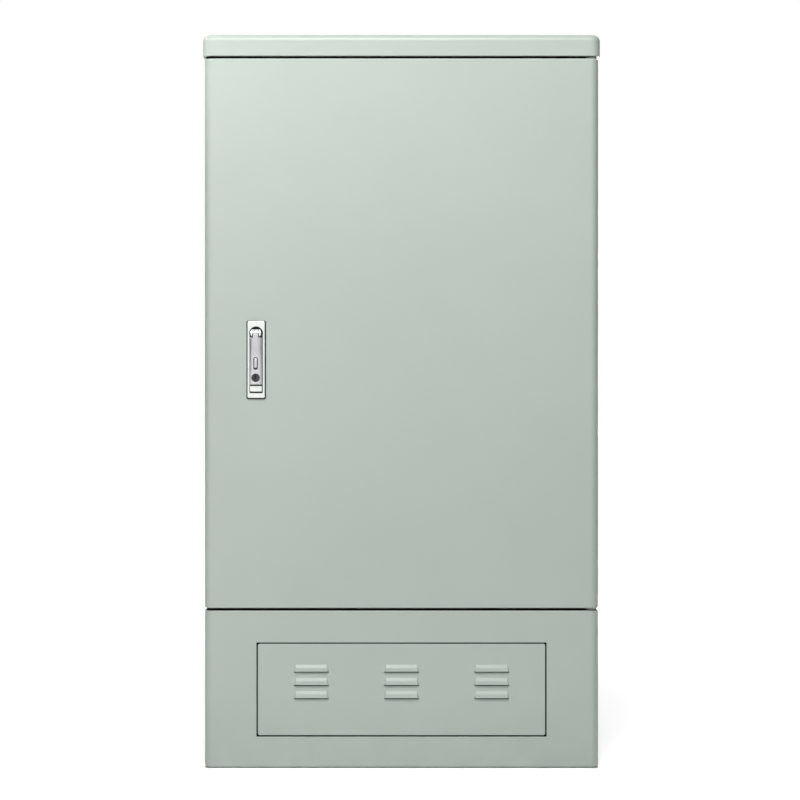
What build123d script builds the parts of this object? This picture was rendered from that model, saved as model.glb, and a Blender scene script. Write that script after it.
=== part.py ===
from build123d import *
import os

# Overall cabinet: X runs along the front, Y towards the rear, Z up from the ground
body_width = 570.0
body_depth = 308.0
plinth_height = 228.0
door_height = 794.0
door_gap = 3.2
cap_height = 31.6
moulding_wall = 4.0
corner_radius = 12.0
fit_gap = 0.5
soft_gap = 0.3
running_gap = 0.06
press_gap = 0.02
cut_overrun = 2.0
quarter_turn = 90.0
half_share = 0.5
oval_round_share = 0.49
rod_round_share = 0.3

# Plinth with its anchor flange, top flange and front window
plinth_foot_thickness = 6.0
plinth_foot_width = 45.0
plinth_top_flange_width = 32.0
plinth_bottom_edge_radius = 5.0
plinth_top_edge_radius = 1.5
anchor_from_edge = 25.0
anchor_hole_radius = 7.0

# Louvred access panel and the lip that it rests on
access_panel_side_margin = 77.5
access_panel_height = 132.0
access_panel_centre_z = 113.7
access_panel_gap = 2.0
access_panel_edge_radius = 0.8
access_panel_corner_radius = 3.0
window_lip_overlap = 10.0
window_lip_land = 12.0
window_lip_thickness = 4.0

# Louvres of the access panel
louvre_columns = 3
louvre_rows = 3
louvre_column_pitch_share = 0.314
louvre_row_pitch = 19.1
louvre_rise_above_centre = 12.0
louvre_mouth_width = 50.5
louvre_top_width = 44.0
louvre_height = 9.6
louvre_end_draft = 1.6
louvre_ridge_drop = 4.2
louvre_ridge_projection = 2.7
louvre_lip_projection = 3.6
louvre_wall = 1.5
louvre_slit = 1.8

# Spring clips behind the access panel
clip_width = 16.0
clip_sheet = 1.0
clip_base_height = 14.0
clip_reach = 13.0
clip_bead_radius = 2.5
clip_place_share = 0.36

# Top cap
cap_overhang = 2.5
cap_corner_radius = 14.0
cap_top_edge_radius = 9.0
cap_bottom_edge_radius = 0.8
cap_boss_radius = 9.0
cap_bolt_upright_gap = 12.0
cap_bolt_front_setback = 100.0
cap_bolt_rear_setback = 45.0

# Side panels, rear panel and front frame
side_return_width = 45.0
side_flange_width = 29.0
side_front_edge_radius = 1.5
rear_field_margin = 70.0
rear_field_relief = 2.0
rear_field_slope_share = 0.9
rear_bolt_rows = 4
rear_bolt_end_margin = 80.0
frame_thickness = 4.0
frame_side_width = 38.0
frame_top_width = 36.0
frame_bottom_width = 40.0
door_frame_gap = 4.0

# Door seal
gasket_width = 10.0
gasket_height = 8.0
gasket_edge_margin = 1.0

# Floor plate with its cable entries
floor_thickness = 3.0
entry_columns = 3
entry_rows = 2
entry_side_room = 15.0
entry_pitch_y = 80.0
entry_rear_setback = 90.5
entry_hole_radius = 26.0
plug_lip_radius = 30.0
plug_lip_height = 3.0
plug_nipple_base_radius = 20.0
plug_nipple_tip_radius = 12.0
plug_nipple_height = 14.0

# Bolts: M8 through the base, M6 elsewhere
base_bolt_radius = 4.0
base_bolt_head_across = 13.0
base_bolt_head_height = 5.3
small_bolt_radius = 3.0
small_bolt_head_across = 10.0
small_bolt_head_height = 4.0
small_nut_height = 5.0
button_head_radius = 6.0
button_head_height = 2.0
bolt_hole_gap = 0.5
bolt_thread_past_nut = 2.0
base_bolt_rows = 3
base_bolt_end_margin = 30.0

# Door pan
door_depth = 32.0
door_edge_radius = 1.5
door_rib_thickness = 4.0
door_cross_rib_height = 10.0
door_cross_rib_shares = (0.15, 0.3, 0.7, 0.85)

# Corner pivots of the door
pivot_from_side = 10.0
pivot_from_front = 12.0
pivot_pin_radius = 4.0
pivot_engagement = 16.0
bush_wall = 2.0
bush_flange_radius = 8.0
pivot_boss_radius = 9.0
pivot_boss_depth = 18.0
pintle_plate_thickness = 3.0
pintle_plate_width = 30.0
pintle_plate_clearance = 1.0
lower_pintle_depth = 28.0
upper_pintle_depth = 95.0
pintle_corner_radius = 8.0
hinge_bolt_pitch = 22.0
hinge_bolt_end_margin = 14.0

# Document pocket inside the door
pocket_lock_room = 150.5
pocket_hinge_room = 43.0
pocket_height = 180.0
pocket_depth = 24.0
pocket_wall = 2.0
pocket_bottom_share = 0.34

# Lock plate: centre of the spindle measured from the door's left side and lower edge
lock_from_side = 75.3
spindle_above_door_bottom = 396.8
lock_plate_width = 25.0
lock_plate_height = 110.6
lock_plate_thickness = 4.0
lock_plate_above_spindle = 17.6
lock_plate_corner_radius = 2.0
lock_plate_edge_radius = 0.8
lock_spigot_side_margin = 2.0
lock_spigot_end_margin = 5.2
spindle_hole_radius = 9.9
handle_bed_depth = 2.4
handle_bed_gap = 0.8
bed_below_button = 2.4
lock_seal_thickness = 0.9
lock_seal_border = 1.6
lock_seal_top_border = 0.5

# Spindle with the two ears that carry the handle
spindle_shaft_radius = 6.0
spindle_head_recess = 4.0
ear_radius = 5.2
ear_inner = 5.0
ear_outer = 7.2
ear_round_radius = 7.5
cam_square = 8.0
spindle_stud_radius = 3.0

# Handle, its pin, oval mark and key cylinder
handle_width = 17.6
handle_thickness = 10.0
handle_shoulder_drop = 6.4
handle_length = 74.0
handle_crown = 2.6
handle_edge_radius = 1.5
handle_end_radius = 2.5
handle_neck_half_width = 4.3
handle_neck_radius = 5.0
handle_pin_radius = 2.0
mark_drop = 42.3
mark_length = 18.0
mark_width = 6.5
mark_depth = 2.0
mark_rim = 1.1
mark_island_recess = 0.4
key_drop = 64.4
key_bore_radius = 6.2
key_recess = 1.5
keyway_width = 1.8
keyway_length = 8.0
keyway_depth = 6.0

# Release button below the handle
button_width = 17.5
button_height = 8.3
button_drop = 79.8
button_proud = 4.5
button_travel = 3.0
button_slot_gap = 0.35
button_edge_radius = 1.2
button_groove_height = 0.7
button_groove_depth = 0.5
button_groove_rise = 1.5
button_stem_radius = 3.0
button_stem_length = 10.0

# Clamp plate and its screws behind the door skin
clamp_plate_thickness = 3.0
clamp_plate_side_margin = 9.5
clamp_plate_end_margin = 3.0
lock_screw_radius = 1.95
lock_screw_head_radius = 3.5
lock_screw_head_height = 2.5
lock_screw_cover = 1.3
lock_screw_drops = (20.0, 68.0)

# Cam, rods and rod guides
cam_thickness = 3.0
cam_pin_offset = 18.0
cam_width = 20.0
cam_frame_clearance = 2.0
rod_width = 12.0
rod_thickness = 3.0
rod_gap = 0.3
rod_end_margin = 7.0
rod_tip_gap = 1.5
rod_pin_radius = 3.0
rod_pin_head_radius = 4.5
rod_pin_head_height = 1.5
rod_guide_inset = 40.9
rod_guide_slack = 4.0
rod_guide_sheet = 2.0
rod_guide_height = 12.0
rod_guide_gap = 0.5
rod_guide_foot = 12.0

# Equipment frame: two channel uprights
rack_left_room = 101.0
rack_right_room = 41.0
upright_width = 30.0
upright_depth = 25.0
upright_sheet = 2.0
upright_front_setback = 84.0
upright_foot_depth = 70.0
upright_foot_thickness = 3.0
rack_bolt_pitch = 36.0

# Patch modules with their adapters
module_count = 6
module_pitch = 58.0
module_plate_height = 56.0
module_plate_thickness = 3.0
module_ear = 26.0
module_first_rise = 195.0
module_rear_room = 26.0
module_box_height = 50.0
module_wall = 2.0
module_side_gap = 2.0
adapter_columns = 12
adapter_rows = 2
adapter_edge_room = 16.0
adapter_pitch_z = 26.0
adapter_width = 9.3
adapter_height = 12.9
adapter_front_length = 12.0
adapter_rear_length = 11.0
adapter_flange_width = 13.0
adapter_flange_height = 18.0
adapter_flange_thickness = 1.8
adapter_window_gap = 0.2
adapter_socket_width = 7.4
adapter_socket_height = 9.6
adapter_socket_depth = 8.0
cap_grip_width = 6.0
cap_grip_height = 8.0
cap_grip_length = 7.0
cap_plug_gap = 0.1

# Splice box above the modules
splice_box_gap = 12.0
splice_box_height = 84.0
splice_box_rear_room = 46.0
splice_cover_margin = 2.0

# Machine screws of the modules and the splice box
module_screw_radius = 2.5
module_screw_head_radius = 4.5
module_screw_head_height = 3.0
module_screw_length = 8.0

# Slack storage on the left
spool_panel_sheet = 2.0
spool_panel_gap = 4.0
spool_panel_top_room = 28.4
spool_panel_notch_height = 20.0
spool_panel_setback = 64.0
spool_panel_foot = 40.0
spool_count = 5
spool_end_margin = 110.0
spool_hub_radius = 22.0
spool_flange_radius = 43.0
spool_flange_thickness = 2.5
spool_length = 45.0
spool_bore_radius = 18.0
spool_screw_radius = 2.5
spool_screw_head_radius = 4.5
spool_screw_head_height = 3.0
spool_screw_length = 8.0

# Fibre guide rings on the right upright
ring_count = 5
ring_end_margin = 160.0
ring_width = 30.0
ring_depth = 44.0
ring_section = 4.0
ring_height = 14.0
ring_corner_radius = 8.0

# Cable clamps on their bar
clamp_bar_height = 40.0
clamp_bar_rise = 85.0
clamp_bar_thickness = 3.0
clamp_count = 4
clamp_pitch = 80.0
clamp_inside = 20.0
clamp_wall = 4.0
clamp_ear = 11.0
clamp_height = 24.0

# Earth bar on two insulators
earth_bar_rise = 45.0
earth_bar_height = 20.0
earth_bar_thickness = 5.0
insulator_radius = 9.0
insulator_length = 25.0
earth_bolt_count = 8
earth_bolt_pitch = 38.0

# Places that follow from the sizes above
side_x = body_width / 2
front_y = -body_depth / 2
rear_y = body_depth / 2
door_bottom_z = plinth_height + door_gap
door_top_z = door_bottom_z + door_height
cap_z = door_top_z + door_gap
top_z = cap_z + cap_height
door_back_y = front_y + door_depth
door_skin_y = front_y + moulding_wall
frame_front_y = door_back_y + door_frame_gap
frame_back_y = frame_front_y + frame_thickness
inner_x = side_x - moulding_wall
rear_panel_back_y = rear_y - moulding_wall
rear_panel_front_y = rear_panel_back_y - moulding_wall
shelf_front_y = frame_back_y + fit_gap
shelf_rear_y = rear_panel_front_y - fit_gap
floor_z = plinth_height + moulding_wall
floor_top_z = floor_z + floor_thickness
roof_top_z = cap_z + moulding_wall
frame_opening_x = inner_x - frame_side_width
frame_opening_top_z = cap_z - frame_top_width
frame_opening_bottom_z = plinth_height + frame_bottom_width
gasket_centre_x = frame_opening_x + gasket_edge_margin + gasket_width / 2
gasket_centre_top_z = frame_opening_top_z + gasket_edge_margin + gasket_width / 2
gasket_centre_bottom_z = frame_opening_bottom_z - gasket_edge_margin - gasket_width / 2
side_flange_x = side_x - side_flange_width
bolt_line_x = (inner_x + side_flange_x) / 2
base_hole_radius = base_bolt_radius + bolt_hole_gap
rear_bolt_x = (inner_x + side_x - side_return_width) / 2
pivot_x = side_x - pivot_from_side
pivot_y = front_y + pivot_from_front
bush_radius = pivot_pin_radius + running_gap + bush_wall
access_panel_width = body_width - 2 * access_panel_side_margin
louvre_column_pitch = louvre_column_pitch_share * access_panel_width
anchor_spacing_x = body_width - 2 * anchor_from_edge
anchor_spacing_y = body_depth - 2 * anchor_from_edge
window_width = access_panel_width + 2 * access_panel_gap
window_height = access_panel_height + 2 * access_panel_gap
lip_opening_width = window_width - 2 * window_lip_overlap
lip_opening_height = window_height - 2 * window_lip_overlap
lock_x = -side_x + lock_from_side
spindle_z = door_bottom_z + spindle_above_door_bottom
lock_plate_top_z = spindle_z + lock_plate_above_spindle
lock_plate_bottom_z = lock_plate_top_z - lock_plate_height
lock_front_y = front_y - lock_plate_thickness
lock_seal_front_y = front_y - lock_seal_thickness
spigot_back_y = door_skin_y - soft_gap
spigot_half_width = lock_plate_width / 2 - lock_spigot_side_margin
spigot_top_z = lock_plate_top_z - lock_spigot_end_margin
spigot_bottom_z = lock_plate_bottom_z + lock_spigot_end_margin
handle_back_y = lock_front_y - soft_gap
handle_front_y = handle_back_y - handle_thickness
handle_pin_y = (handle_back_y + handle_front_y) / 2
handle_shoulder_z = spindle_z - handle_shoulder_drop
handle_bottom_z = spindle_z - handle_length
key_z = spindle_z - key_drop
mark_z = spindle_z - mark_drop
button_z = spindle_z - button_drop
clamp_plate_back_y = door_skin_y + clamp_plate_thickness
cam_front_y = frame_back_y + cam_frame_clearance
cam_back_y = cam_front_y + cam_thickness
rod_front_y = cam_back_y + rod_gap
rod_back_y = rod_front_y + rod_thickness
upright_front_y = frame_back_y + upright_front_setback
upright_back_y = upright_front_y + upright_depth
left_upright_x = -inner_x + rack_left_room + upright_width / 2
right_upright_x = inner_x - rack_right_room - upright_width / 2
rack_centre_x = (left_upright_x + right_upright_x) / 2
rack_inner_width = right_upright_x - left_upright_x - upright_width
plate_front_y = upright_front_y - module_plate_thickness
module_half_width = rack_inner_width / 2 - module_side_gap
module_plate_half = rack_inner_width / 2 + module_ear
module_first_z = floor_top_z + module_first_rise
module_back_y = rear_panel_front_y - module_rear_room
adapter_pitch_x = 2 * (module_half_width - adapter_edge_room) / adapter_columns
entry_pitch_x = (rack_inner_width - 2 * entry_side_room) / entry_columns
entry_centre_y = shelf_rear_y - entry_rear_setback
splice_box_z = module_first_z + module_count * module_pitch + splice_box_gap
spool_panel_y = upright_front_y + spool_panel_setback
spool_panel_top_z = cap_z - spool_panel_top_room
spool_x = (left_upright_x - upright_width / 2 - inner_x) / 2
clamp_bar_z = floor_top_z + clamp_bar_rise
clamp_bar_front_y = upright_front_y - clamp_bar_thickness
earth_bar_z = floor_top_z + earth_bar_rise
earth_back_y = upright_front_y - insulator_length
earth_front_y = earth_back_y - earth_bar_thickness


# Shapes that many pieces share
def block(x_low, x_high, y_low, y_high, z_low, z_high):
    place = Pos((x_low + x_high) / 2, (y_low + y_high) / 2, (z_low + z_high) / 2)
    return place * Box(x_high - x_low, y_high - y_low, z_high - z_low)


def rod_x(x_low, x_high, y, z, radius):
    place = Pos((x_low + x_high) / 2, y, z) * Rot(0, quarter_turn, 0)
    return place * Cylinder(radius, x_high - x_low)


def rod_y(x, y_low, y_high, z, radius):
    place = Pos(x, (y_low + y_high) / 2, z) * Rot(quarter_turn, 0, 0)
    return place * Cylinder(radius, y_high - y_low)


def rod_z(x, y, z_low, z_high, radius):
    return Pos(x, y, (z_low + z_high) / 2) * Cylinder(radius, z_high - z_low)


def bolt(shank_radius, shank_length, head_across, head_height):
    head = extrude(RegularPolygon(head_across / 2, 6, major_radius=False), head_height)
    shank = Pos(0, 0, -shank_length / 2) * Cylinder(shank_radius, shank_length)
    return head + shank


def nut(shank_radius, across, height):
    body = extrude(RegularPolygon(across / 2, 6, major_radius=False), height)
    return body - Pos(0, 0, height / 2) * Cylinder(shank_radius + running_gap, height + cut_overrun)


def round_screw(shank_radius, shank_length, head_radius, head_height):
    head = Pos(0, 0, head_height / 2) * Cylinder(head_radius, head_height)
    head = fillet(head.edges().group_by(Axis.Z)[-1], head_height / 2)
    shank = Pos(0, 0, -shank_length / 2) * Cylinder(shank_radius, shank_length)
    return head + shank


def group(shapes):
    return Compound(children=list(shapes))


def spread(count, pitch):
    return [(index - (count - 1) / 2) * pitch for index in range(count)]


# Places of the shell's bolts
def base_bolt_places():
    first_y = shelf_front_y + base_bolt_end_margin
    last_y = shelf_rear_y - base_bolt_end_margin
    step = (last_y - first_y) / (base_bolt_rows - 1)
    rows = [first_y + row * step for row in range(base_bolt_rows)]
    return [(side * bolt_line_x, y) for side in (-1, 1) for y in rows]


def cap_bolt_places():
    front = front_y + cap_bolt_front_setback
    rear = rear_y - cap_bolt_rear_setback
    x = right_upright_x - upright_width / 2 - cap_bolt_upright_gap
    return [(side * x, y) for side in (-1, 1) for y in (front, rear)]


def rear_bolt_places():
    first_z = plinth_height + rear_bolt_end_margin
    last_z = cap_z - rear_bolt_end_margin
    step = (last_z - first_z) / (rear_bolt_rows - 1)
    rows = [first_z + row * step for row in range(rear_bolt_rows)]
    return [(side * rear_bolt_x, z) for side in (-1, 1) for z in rows]


def hinge_bolt_places():
    last_y = front_y + moulding_wall + upper_pintle_depth - hinge_bolt_end_margin
    return [(bolt_line_x, last_y - hinge_bolt_pitch), (bolt_line_x, last_y)]


def rack_bolt_places():
    foot_middle = upright_back_y + upright_foot_depth / 2
    rows = [foot_middle + y for y in spread(2, rack_bolt_pitch)]
    return [(x, y) for x in (left_upright_x, right_upright_x) for y in rows]


def entry_places():
    columns = [rack_centre_x + x for x in spread(entry_columns, entry_pitch_x)]
    rows = [entry_centre_y + y for y in spread(entry_rows, entry_pitch_y)]
    return [(x, y) for x in columns for y in rows]


# Plinth: one moulded ring, open below, with flanges turned in at foot and top
def make_plinth():
    shell = block(-side_x, side_x, front_y, rear_y, 0, plinth_height)
    shell = fillet(shell.edges().filter_by(Axis.Z), corner_radius)
    shell = fillet(shell.edges().group_by(Axis.Z)[0], plinth_bottom_edge_radius)
    shell = fillet(shell.edges().group_by(Axis.Z)[-1], plinth_top_edge_radius)
    cavity = block(
        -inner_x, inner_x, front_y + moulding_wall, rear_y - moulding_wall,
        plinth_foot_thickness, plinth_height - moulding_wall,
    )
    cavity = fillet(cavity.edges().filter_by(Axis.Z), corner_radius - moulding_wall)
    shell -= cavity
    foot_x = side_x - plinth_foot_width
    foot_y = rear_y - plinth_foot_width
    shell -= block(-foot_x, foot_x, -foot_y, foot_y, -cut_overrun, plinth_foot_thickness + cut_overrun)
    flange_x = side_x - plinth_top_flange_width
    flange_y = rear_y - plinth_top_flange_width
    flange_low = plinth_height - moulding_wall - cut_overrun
    shell -= block(-flange_x, flange_x, -flange_y, flange_y, flange_low, plinth_height + cut_overrun)
    for x in spread(2, anchor_spacing_x):
        for y in spread(2, anchor_spacing_y):
            shell -= rod_z(x, y, -cut_overrun, plinth_foot_thickness + cut_overrun, anchor_hole_radius)
    for x, y in base_bolt_places():
        shell -= rod_z(x, y, flange_low, plinth_height + cut_overrun, base_hole_radius)
    shell -= rod_z(pivot_x, pivot_y, flange_low, plinth_height + cut_overrun, pivot_pin_radius + running_gap)
    lip_y = front_y + moulding_wall
    lip_x = window_width / 2 + window_lip_land
    lip_z = window_height / 2 + window_lip_land
    shell += block(
        -lip_x, lip_x, lip_y, lip_y + window_lip_thickness,
        access_panel_centre_z - lip_z, access_panel_centre_z + lip_z,
    )
    opening_x = lip_opening_width / 2
    opening_z = lip_opening_height / 2
    shell -= block(
        -opening_x, opening_x, front_y - cut_overrun, lip_y + window_lip_thickness + cut_overrun,
        access_panel_centre_z - opening_z, access_panel_centre_z + opening_z,
    )
    window_z = window_height / 2
    shell -= block(
        -window_width / 2, window_width / 2, front_y - cut_overrun, lip_y,
        access_panel_centre_z - window_z, access_panel_centre_z + window_z,
    )
    return shell


# One louvre hood on the panel's face: a sloping top, a leaning lip, and ends that narrow upwards
def louvre_solid(top_z, bottom_z, ridge_z, ridge_y, lip_y, top_width, mouth_width):
    corners = ((front_y, top_z), (ridge_y, ridge_z), (lip_y, bottom_z), (front_y, bottom_z))
    body = extrude(Plane.YZ * Polygon(*corners, align=None), amount=mouth_width / 2, both=True)
    sections = []
    for y, draft in ((front_y, 0), (lip_y, louvre_end_draft)):
        top_x = top_width / 2 - draft
        mouth_x = mouth_width / 2 - draft
        corners = ((-top_x, top_z), (top_x, top_z), (mouth_x, bottom_z), (-mouth_x, bottom_z))
        plane = Plane(origin=(0, y, 0), x_dir=(1, 0, 0), z_dir=(0, -1, 0))
        sections.append(plane * Polygon(*corners, align=None))
    return body & loft(sections, ruled=True)


# Access panel: a flat moulding with rows of louvres, each with a slit below its lip
def make_access_panel():
    back_y = front_y + moulding_wall - soft_gap
    half_x = access_panel_width / 2
    half_z = access_panel_height / 2
    low_z = access_panel_centre_z - half_z
    high_z = access_panel_centre_z + half_z
    panel = block(-half_x, half_x, front_y, back_y, low_z, high_z)
    panel = fillet(panel.edges().filter_by(Axis.Y), access_panel_corner_radius)
    panel = fillet(panel.edges().group_by(Axis.Y)[0], access_panel_edge_radius)
    half = louvre_height / 2
    ridge_y = front_y - louvre_ridge_projection
    lip_y = front_y - louvre_lip_projection
    hood = louvre_solid(
        half, -half, half - louvre_ridge_drop, ridge_y, lip_y, louvre_top_width, louvre_mouth_width,
    )
    inner_top_z = half - 2 * louvre_wall
    mouth = louvre_solid(
        inner_top_z, -half - louvre_slit, half - louvre_ridge_drop - louvre_wall,
        ridge_y + louvre_wall, lip_y + louvre_wall,
        louvre_top_width - 2 * louvre_wall, louvre_mouth_width - 2 * louvre_wall,
    )
    slot_x = louvre_top_width / 2 - louvre_wall
    slit_x = louvre_mouth_width / 2
    slot = block(-slot_x, slot_x, front_y, back_y + cut_overrun, -half, inner_top_z)
    slit = block(-slit_x, slit_x, front_y - cut_overrun, back_y + cut_overrun, -half - louvre_slit, -half)
    first_z = access_panel_centre_z + louvre_rise_above_centre
    for x in spread(louvre_columns, louvre_column_pitch):
        for z in spread(louvre_rows, louvre_row_pitch):
            place = Pos(x, 0, first_z + z)
            panel += place * hood
            panel -= place * mouth
            panel -= place * slot
            panel -= place * slit
    return panel


# Spring clips: bent strips on the panel's back, with a bead that grips the window lip
def make_access_panel_clips():
    back_y = front_y + moulding_wall - soft_gap
    clips = []
    for end in (-1, 1):
        leg_z = end * (lip_opening_height / 2 - soft_gap - clip_bead_radius)
        foot_z = leg_z - end * clip_base_height
        half = clip_sheet / 2
        low = min(leg_z, foot_z) - half
        high = max(leg_z, foot_z) + half
        for x in spread(2, 2 * clip_place_share * access_panel_width):
            left = x - clip_width / 2
            right = x + clip_width / 2
            clip = block(left, right, back_y, back_y + clip_sheet, low, high)
            clip += block(left, right, back_y, back_y + clip_reach, leg_z - half, leg_z + half)
            clip += rod_x(left, right, back_y + clip_reach, leg_z, clip_bead_radius)
            clips.append(Pos(0, 0, access_panel_centre_z) * clip)
    return group(clips)


# Top cap: a shallow moulded lid with bosses for its bolts
def make_top_cap():
    x = side_x + cap_overhang
    y = rear_y + cap_overhang
    cap = block(-x, x, -y, y, cap_z, top_z)
    cap = fillet(cap.edges().filter_by(Axis.Z), cap_corner_radius)
    cap = fillet(cap.edges().group_by(Axis.Z)[-1], cap_top_edge_radius)
    cap = fillet(cap.edges().group_by(Axis.Z)[0], cap_bottom_edge_radius)
    hollow_x = x - moulding_wall
    hollow_y = y - moulding_wall
    hollow = block(-hollow_x, hollow_x, -hollow_y, hollow_y, cap_z - cut_overrun, top_z - moulding_wall)
    hollow = fillet(hollow.edges().filter_by(Axis.Z), cap_corner_radius - moulding_wall)
    hollow = fillet(hollow.edges().group_by(Axis.Z)[-1], cap_top_edge_radius - moulding_wall)
    cap -= hollow
    bore_top_z = (roof_top_z + top_z) / 2
    for bolt_x, bolt_y in cap_bolt_places():
        cap += rod_z(bolt_x, bolt_y, roof_top_z, top_z - moulding_wall / 2, cap_boss_radius)
        cap -= rod_z(bolt_x, bolt_y, roof_top_z - cut_overrun, bore_top_z, small_bolt_radius + running_gap)
    return cap


# Right side panel: a moulded wall with a rear return and flanges at top and bottom
def make_right_side_panel():
    return_x = side_x - side_return_width
    wall = block(return_x, side_x, frame_front_y, rear_y, plinth_height, cap_z)
    corner = wall.edges().filter_by(Axis.Z).sort_by(lambda edge: edge.center().X + edge.center().Y)[-1]
    wall = fillet(corner, corner_radius)
    front_edge = wall.edges().filter_by(Axis.Z).sort_by(lambda edge: edge.center().X - edge.center().Y)[-1]
    wall = fillet(front_edge, side_front_edge_radius)
    room = block(
        return_x - cut_overrun, inner_x, frame_front_y - cut_overrun, rear_panel_back_y,
        plinth_height - cut_overrun, cap_z + cut_overrun,
    )
    corner = room.edges().filter_by(Axis.Z).sort_by(lambda edge: edge.center().X + edge.center().Y)[-1]
    wall -= fillet(corner, corner_radius - moulding_wall)
    for low_z in (plinth_height, cap_z - moulding_wall):
        wall += block(
            side_flange_x, side_x - moulding_wall / 2, shelf_front_y, shelf_rear_y,
            low_z, low_z + moulding_wall,
        )
    for x, y in base_bolt_places():
        wall -= rod_z(x, y, plinth_height - cut_overrun, floor_z + cut_overrun, base_hole_radius)
    hole_radius = small_bolt_radius + bolt_hole_gap
    for x, y in hinge_bolt_places():
        wall -= rod_z(x, y, cap_z - moulding_wall - cut_overrun, cap_z + cut_overrun, hole_radius)
    for x, z in rear_bolt_places():
        wall -= rod_y(x, rear_panel_back_y - cut_overrun, rear_y + cut_overrun, z, hole_radius)
    return wall


# Rear panel: a flat moulding with a shallow raised field
def make_rear_panel():
    edge_x = side_x - corner_radius - fit_gap
    panel = block(-edge_x, edge_x, rear_panel_front_y, rear_panel_back_y, plinth_height, cap_z)
    field_x = inner_x - rear_field_margin
    field_back_y = rear_panel_back_y + rear_field_relief
    field = block(
        -field_x, field_x, rear_panel_back_y - moulding_wall / 2, field_back_y,
        plinth_height + rear_field_margin, cap_z - rear_field_margin,
    )
    field = fillet(field.edges().filter_by(Axis.Y), corner_radius)
    panel += chamfer(field.edges().group_by(Axis.Y)[-1], rear_field_relief * rear_field_slope_share)
    hole_radius = small_bolt_radius + bolt_hole_gap
    for x, z in rear_bolt_places():
        panel -= rod_y(x, rear_panel_front_y - cut_overrun, rear_panel_back_y + cut_overrun, z, hole_radius)
    return panel


# Roof panel: a flat plate under the cap
def make_roof_panel():
    panel = block(
        -inner_x + fit_gap, inner_x - fit_gap, shelf_front_y, shelf_rear_y, cap_z, roof_top_z,
    )
    hole_radius = small_bolt_radius + bolt_hole_gap
    for x, y in cap_bolt_places() + hinge_bolt_places() + rack_bolt_places():
        panel -= rod_z(x, y, cap_z - cut_overrun, roof_top_z + cut_overrun, hole_radius)
    return panel


# Front frame: a flat ring that stiffens the door opening
def make_front_frame():
    frame = block(-inner_x, inner_x, frame_front_y, frame_back_y, plinth_height, cap_z)
    opening = block(
        -frame_opening_x, frame_opening_x, frame_front_y - cut_overrun, frame_back_y + cut_overrun,
        frame_opening_bottom_z, frame_opening_top_z,
    )
    return frame - fillet(opening.edges().filter_by(Axis.Y), corner_radius)


# A rectangular ring standing off a plane, used by the seal and its rib
def seal_ring(width, y_low, y_high):
    half = width / 2
    outer = block(
        -gasket_centre_x - half, gasket_centre_x + half, y_low, y_high,
        gasket_centre_bottom_z - half, gasket_centre_top_z + half,
    )
    outer = fillet(outer.edges().filter_by(Axis.Y), corner_radius + half)
    inner = block(
        -gasket_centre_x + half, gasket_centre_x - half, y_low - cut_overrun, y_high + cut_overrun,
        gasket_centre_bottom_z + half, gasket_centre_top_z - half,
    )
    return outer - fillet(inner.edges().filter_by(Axis.Y), corner_radius - half)


# Door seal: one rubber ring bonded to the front frame
def make_door_gasket():
    return seal_ring(gasket_width, frame_front_y - gasket_height, frame_front_y)


# Floor plate with its cable entry holes
def make_floor_plate():
    plate = block(
        -inner_x + fit_gap, inner_x - fit_gap, shelf_front_y, shelf_rear_y, floor_z, floor_top_z,
    )
    plate = fillet(plate.edges().filter_by(Axis.Z), corner_radius - moulding_wall)
    low_z = floor_z - cut_overrun
    high_z = floor_top_z + cut_overrun
    for x, y in entry_places():
        plate -= rod_z(x, y, low_z, high_z, entry_hole_radius)
    for x, y in base_bolt_places():
        plate -= rod_z(x, y, low_z, high_z, base_hole_radius)
    for x, y in rack_bolt_places():
        plate -= rod_z(x, y, low_z, high_z, small_bolt_radius + bolt_hole_gap)
    return plate


# Cable entry plugs: closed rubber nipples that are cut open when a cable is drawn in
def make_cable_entry_plugs():
    plugs = []
    plug_top_z = floor_top_z + plug_lip_height
    nipple_middle = plug_top_z + plug_nipple_height / 2
    for x, y in entry_places():
        plug = rod_z(x, y, floor_z - plug_lip_height, floor_z, plug_lip_radius)
        plug += rod_z(x, y, floor_z - plug_lip_height, plug_top_z, entry_hole_radius - soft_gap)
        plug += rod_z(x, y, floor_top_z, plug_top_z, plug_lip_radius)
        nipple = Cone(plug_nipple_base_radius, plug_nipple_tip_radius, plug_nipple_height)
        plug += Pos(x, y, nipple_middle) * nipple
        plugs.append(plug)
    return group(plugs)


# Base bolts: through floor plate, side panel and plinth flange, with their nuts
def make_base_bolts():
    nut_z = plinth_height - moulding_wall - base_bolt_head_height
    length = floor_top_z - nut_z + bolt_thread_past_nut
    pieces = []
    for x, y in base_bolt_places():
        pieces.append(Pos(x, y, floor_top_z) * bolt(
            base_bolt_radius, length, base_bolt_head_across, base_bolt_head_height,
        ))
        pieces.append(Pos(x, y, nut_z) * nut(base_bolt_radius, base_bolt_head_across, base_bolt_head_height))
    return group(pieces)


# Rear bolts: low round heads outside, nuts inside
def make_rear_bolts():
    nut_y = rear_panel_front_y
    length = rear_y - nut_y + small_nut_height + bolt_thread_past_nut
    pieces = []
    for x, z in rear_bolt_places():
        screw = round_screw(small_bolt_radius, length, button_head_radius, button_head_height)
        pieces.append(Pos(x, rear_y, z) * Rot(-quarter_turn, 0, 0) * screw)
        ring = nut(small_bolt_radius, small_bolt_head_across, small_nut_height)
        pieces.append(Pos(x, nut_y, z) * Rot(quarter_turn, 0, 0) * ring)
    return group(pieces)


# Cap bolts: up through the roof panel into the cap's bosses
def make_cap_bolts():
    length = (top_z - roof_top_z) / 2
    pieces = []
    for x, y in cap_bolt_places():
        screw = bolt(small_bolt_radius, length, small_bolt_head_across, small_bolt_head_height)
        pieces.append(Pos(x, y, cap_z) * Rot(2 * quarter_turn, 0, 0) * screw)
    return group(pieces)


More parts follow.
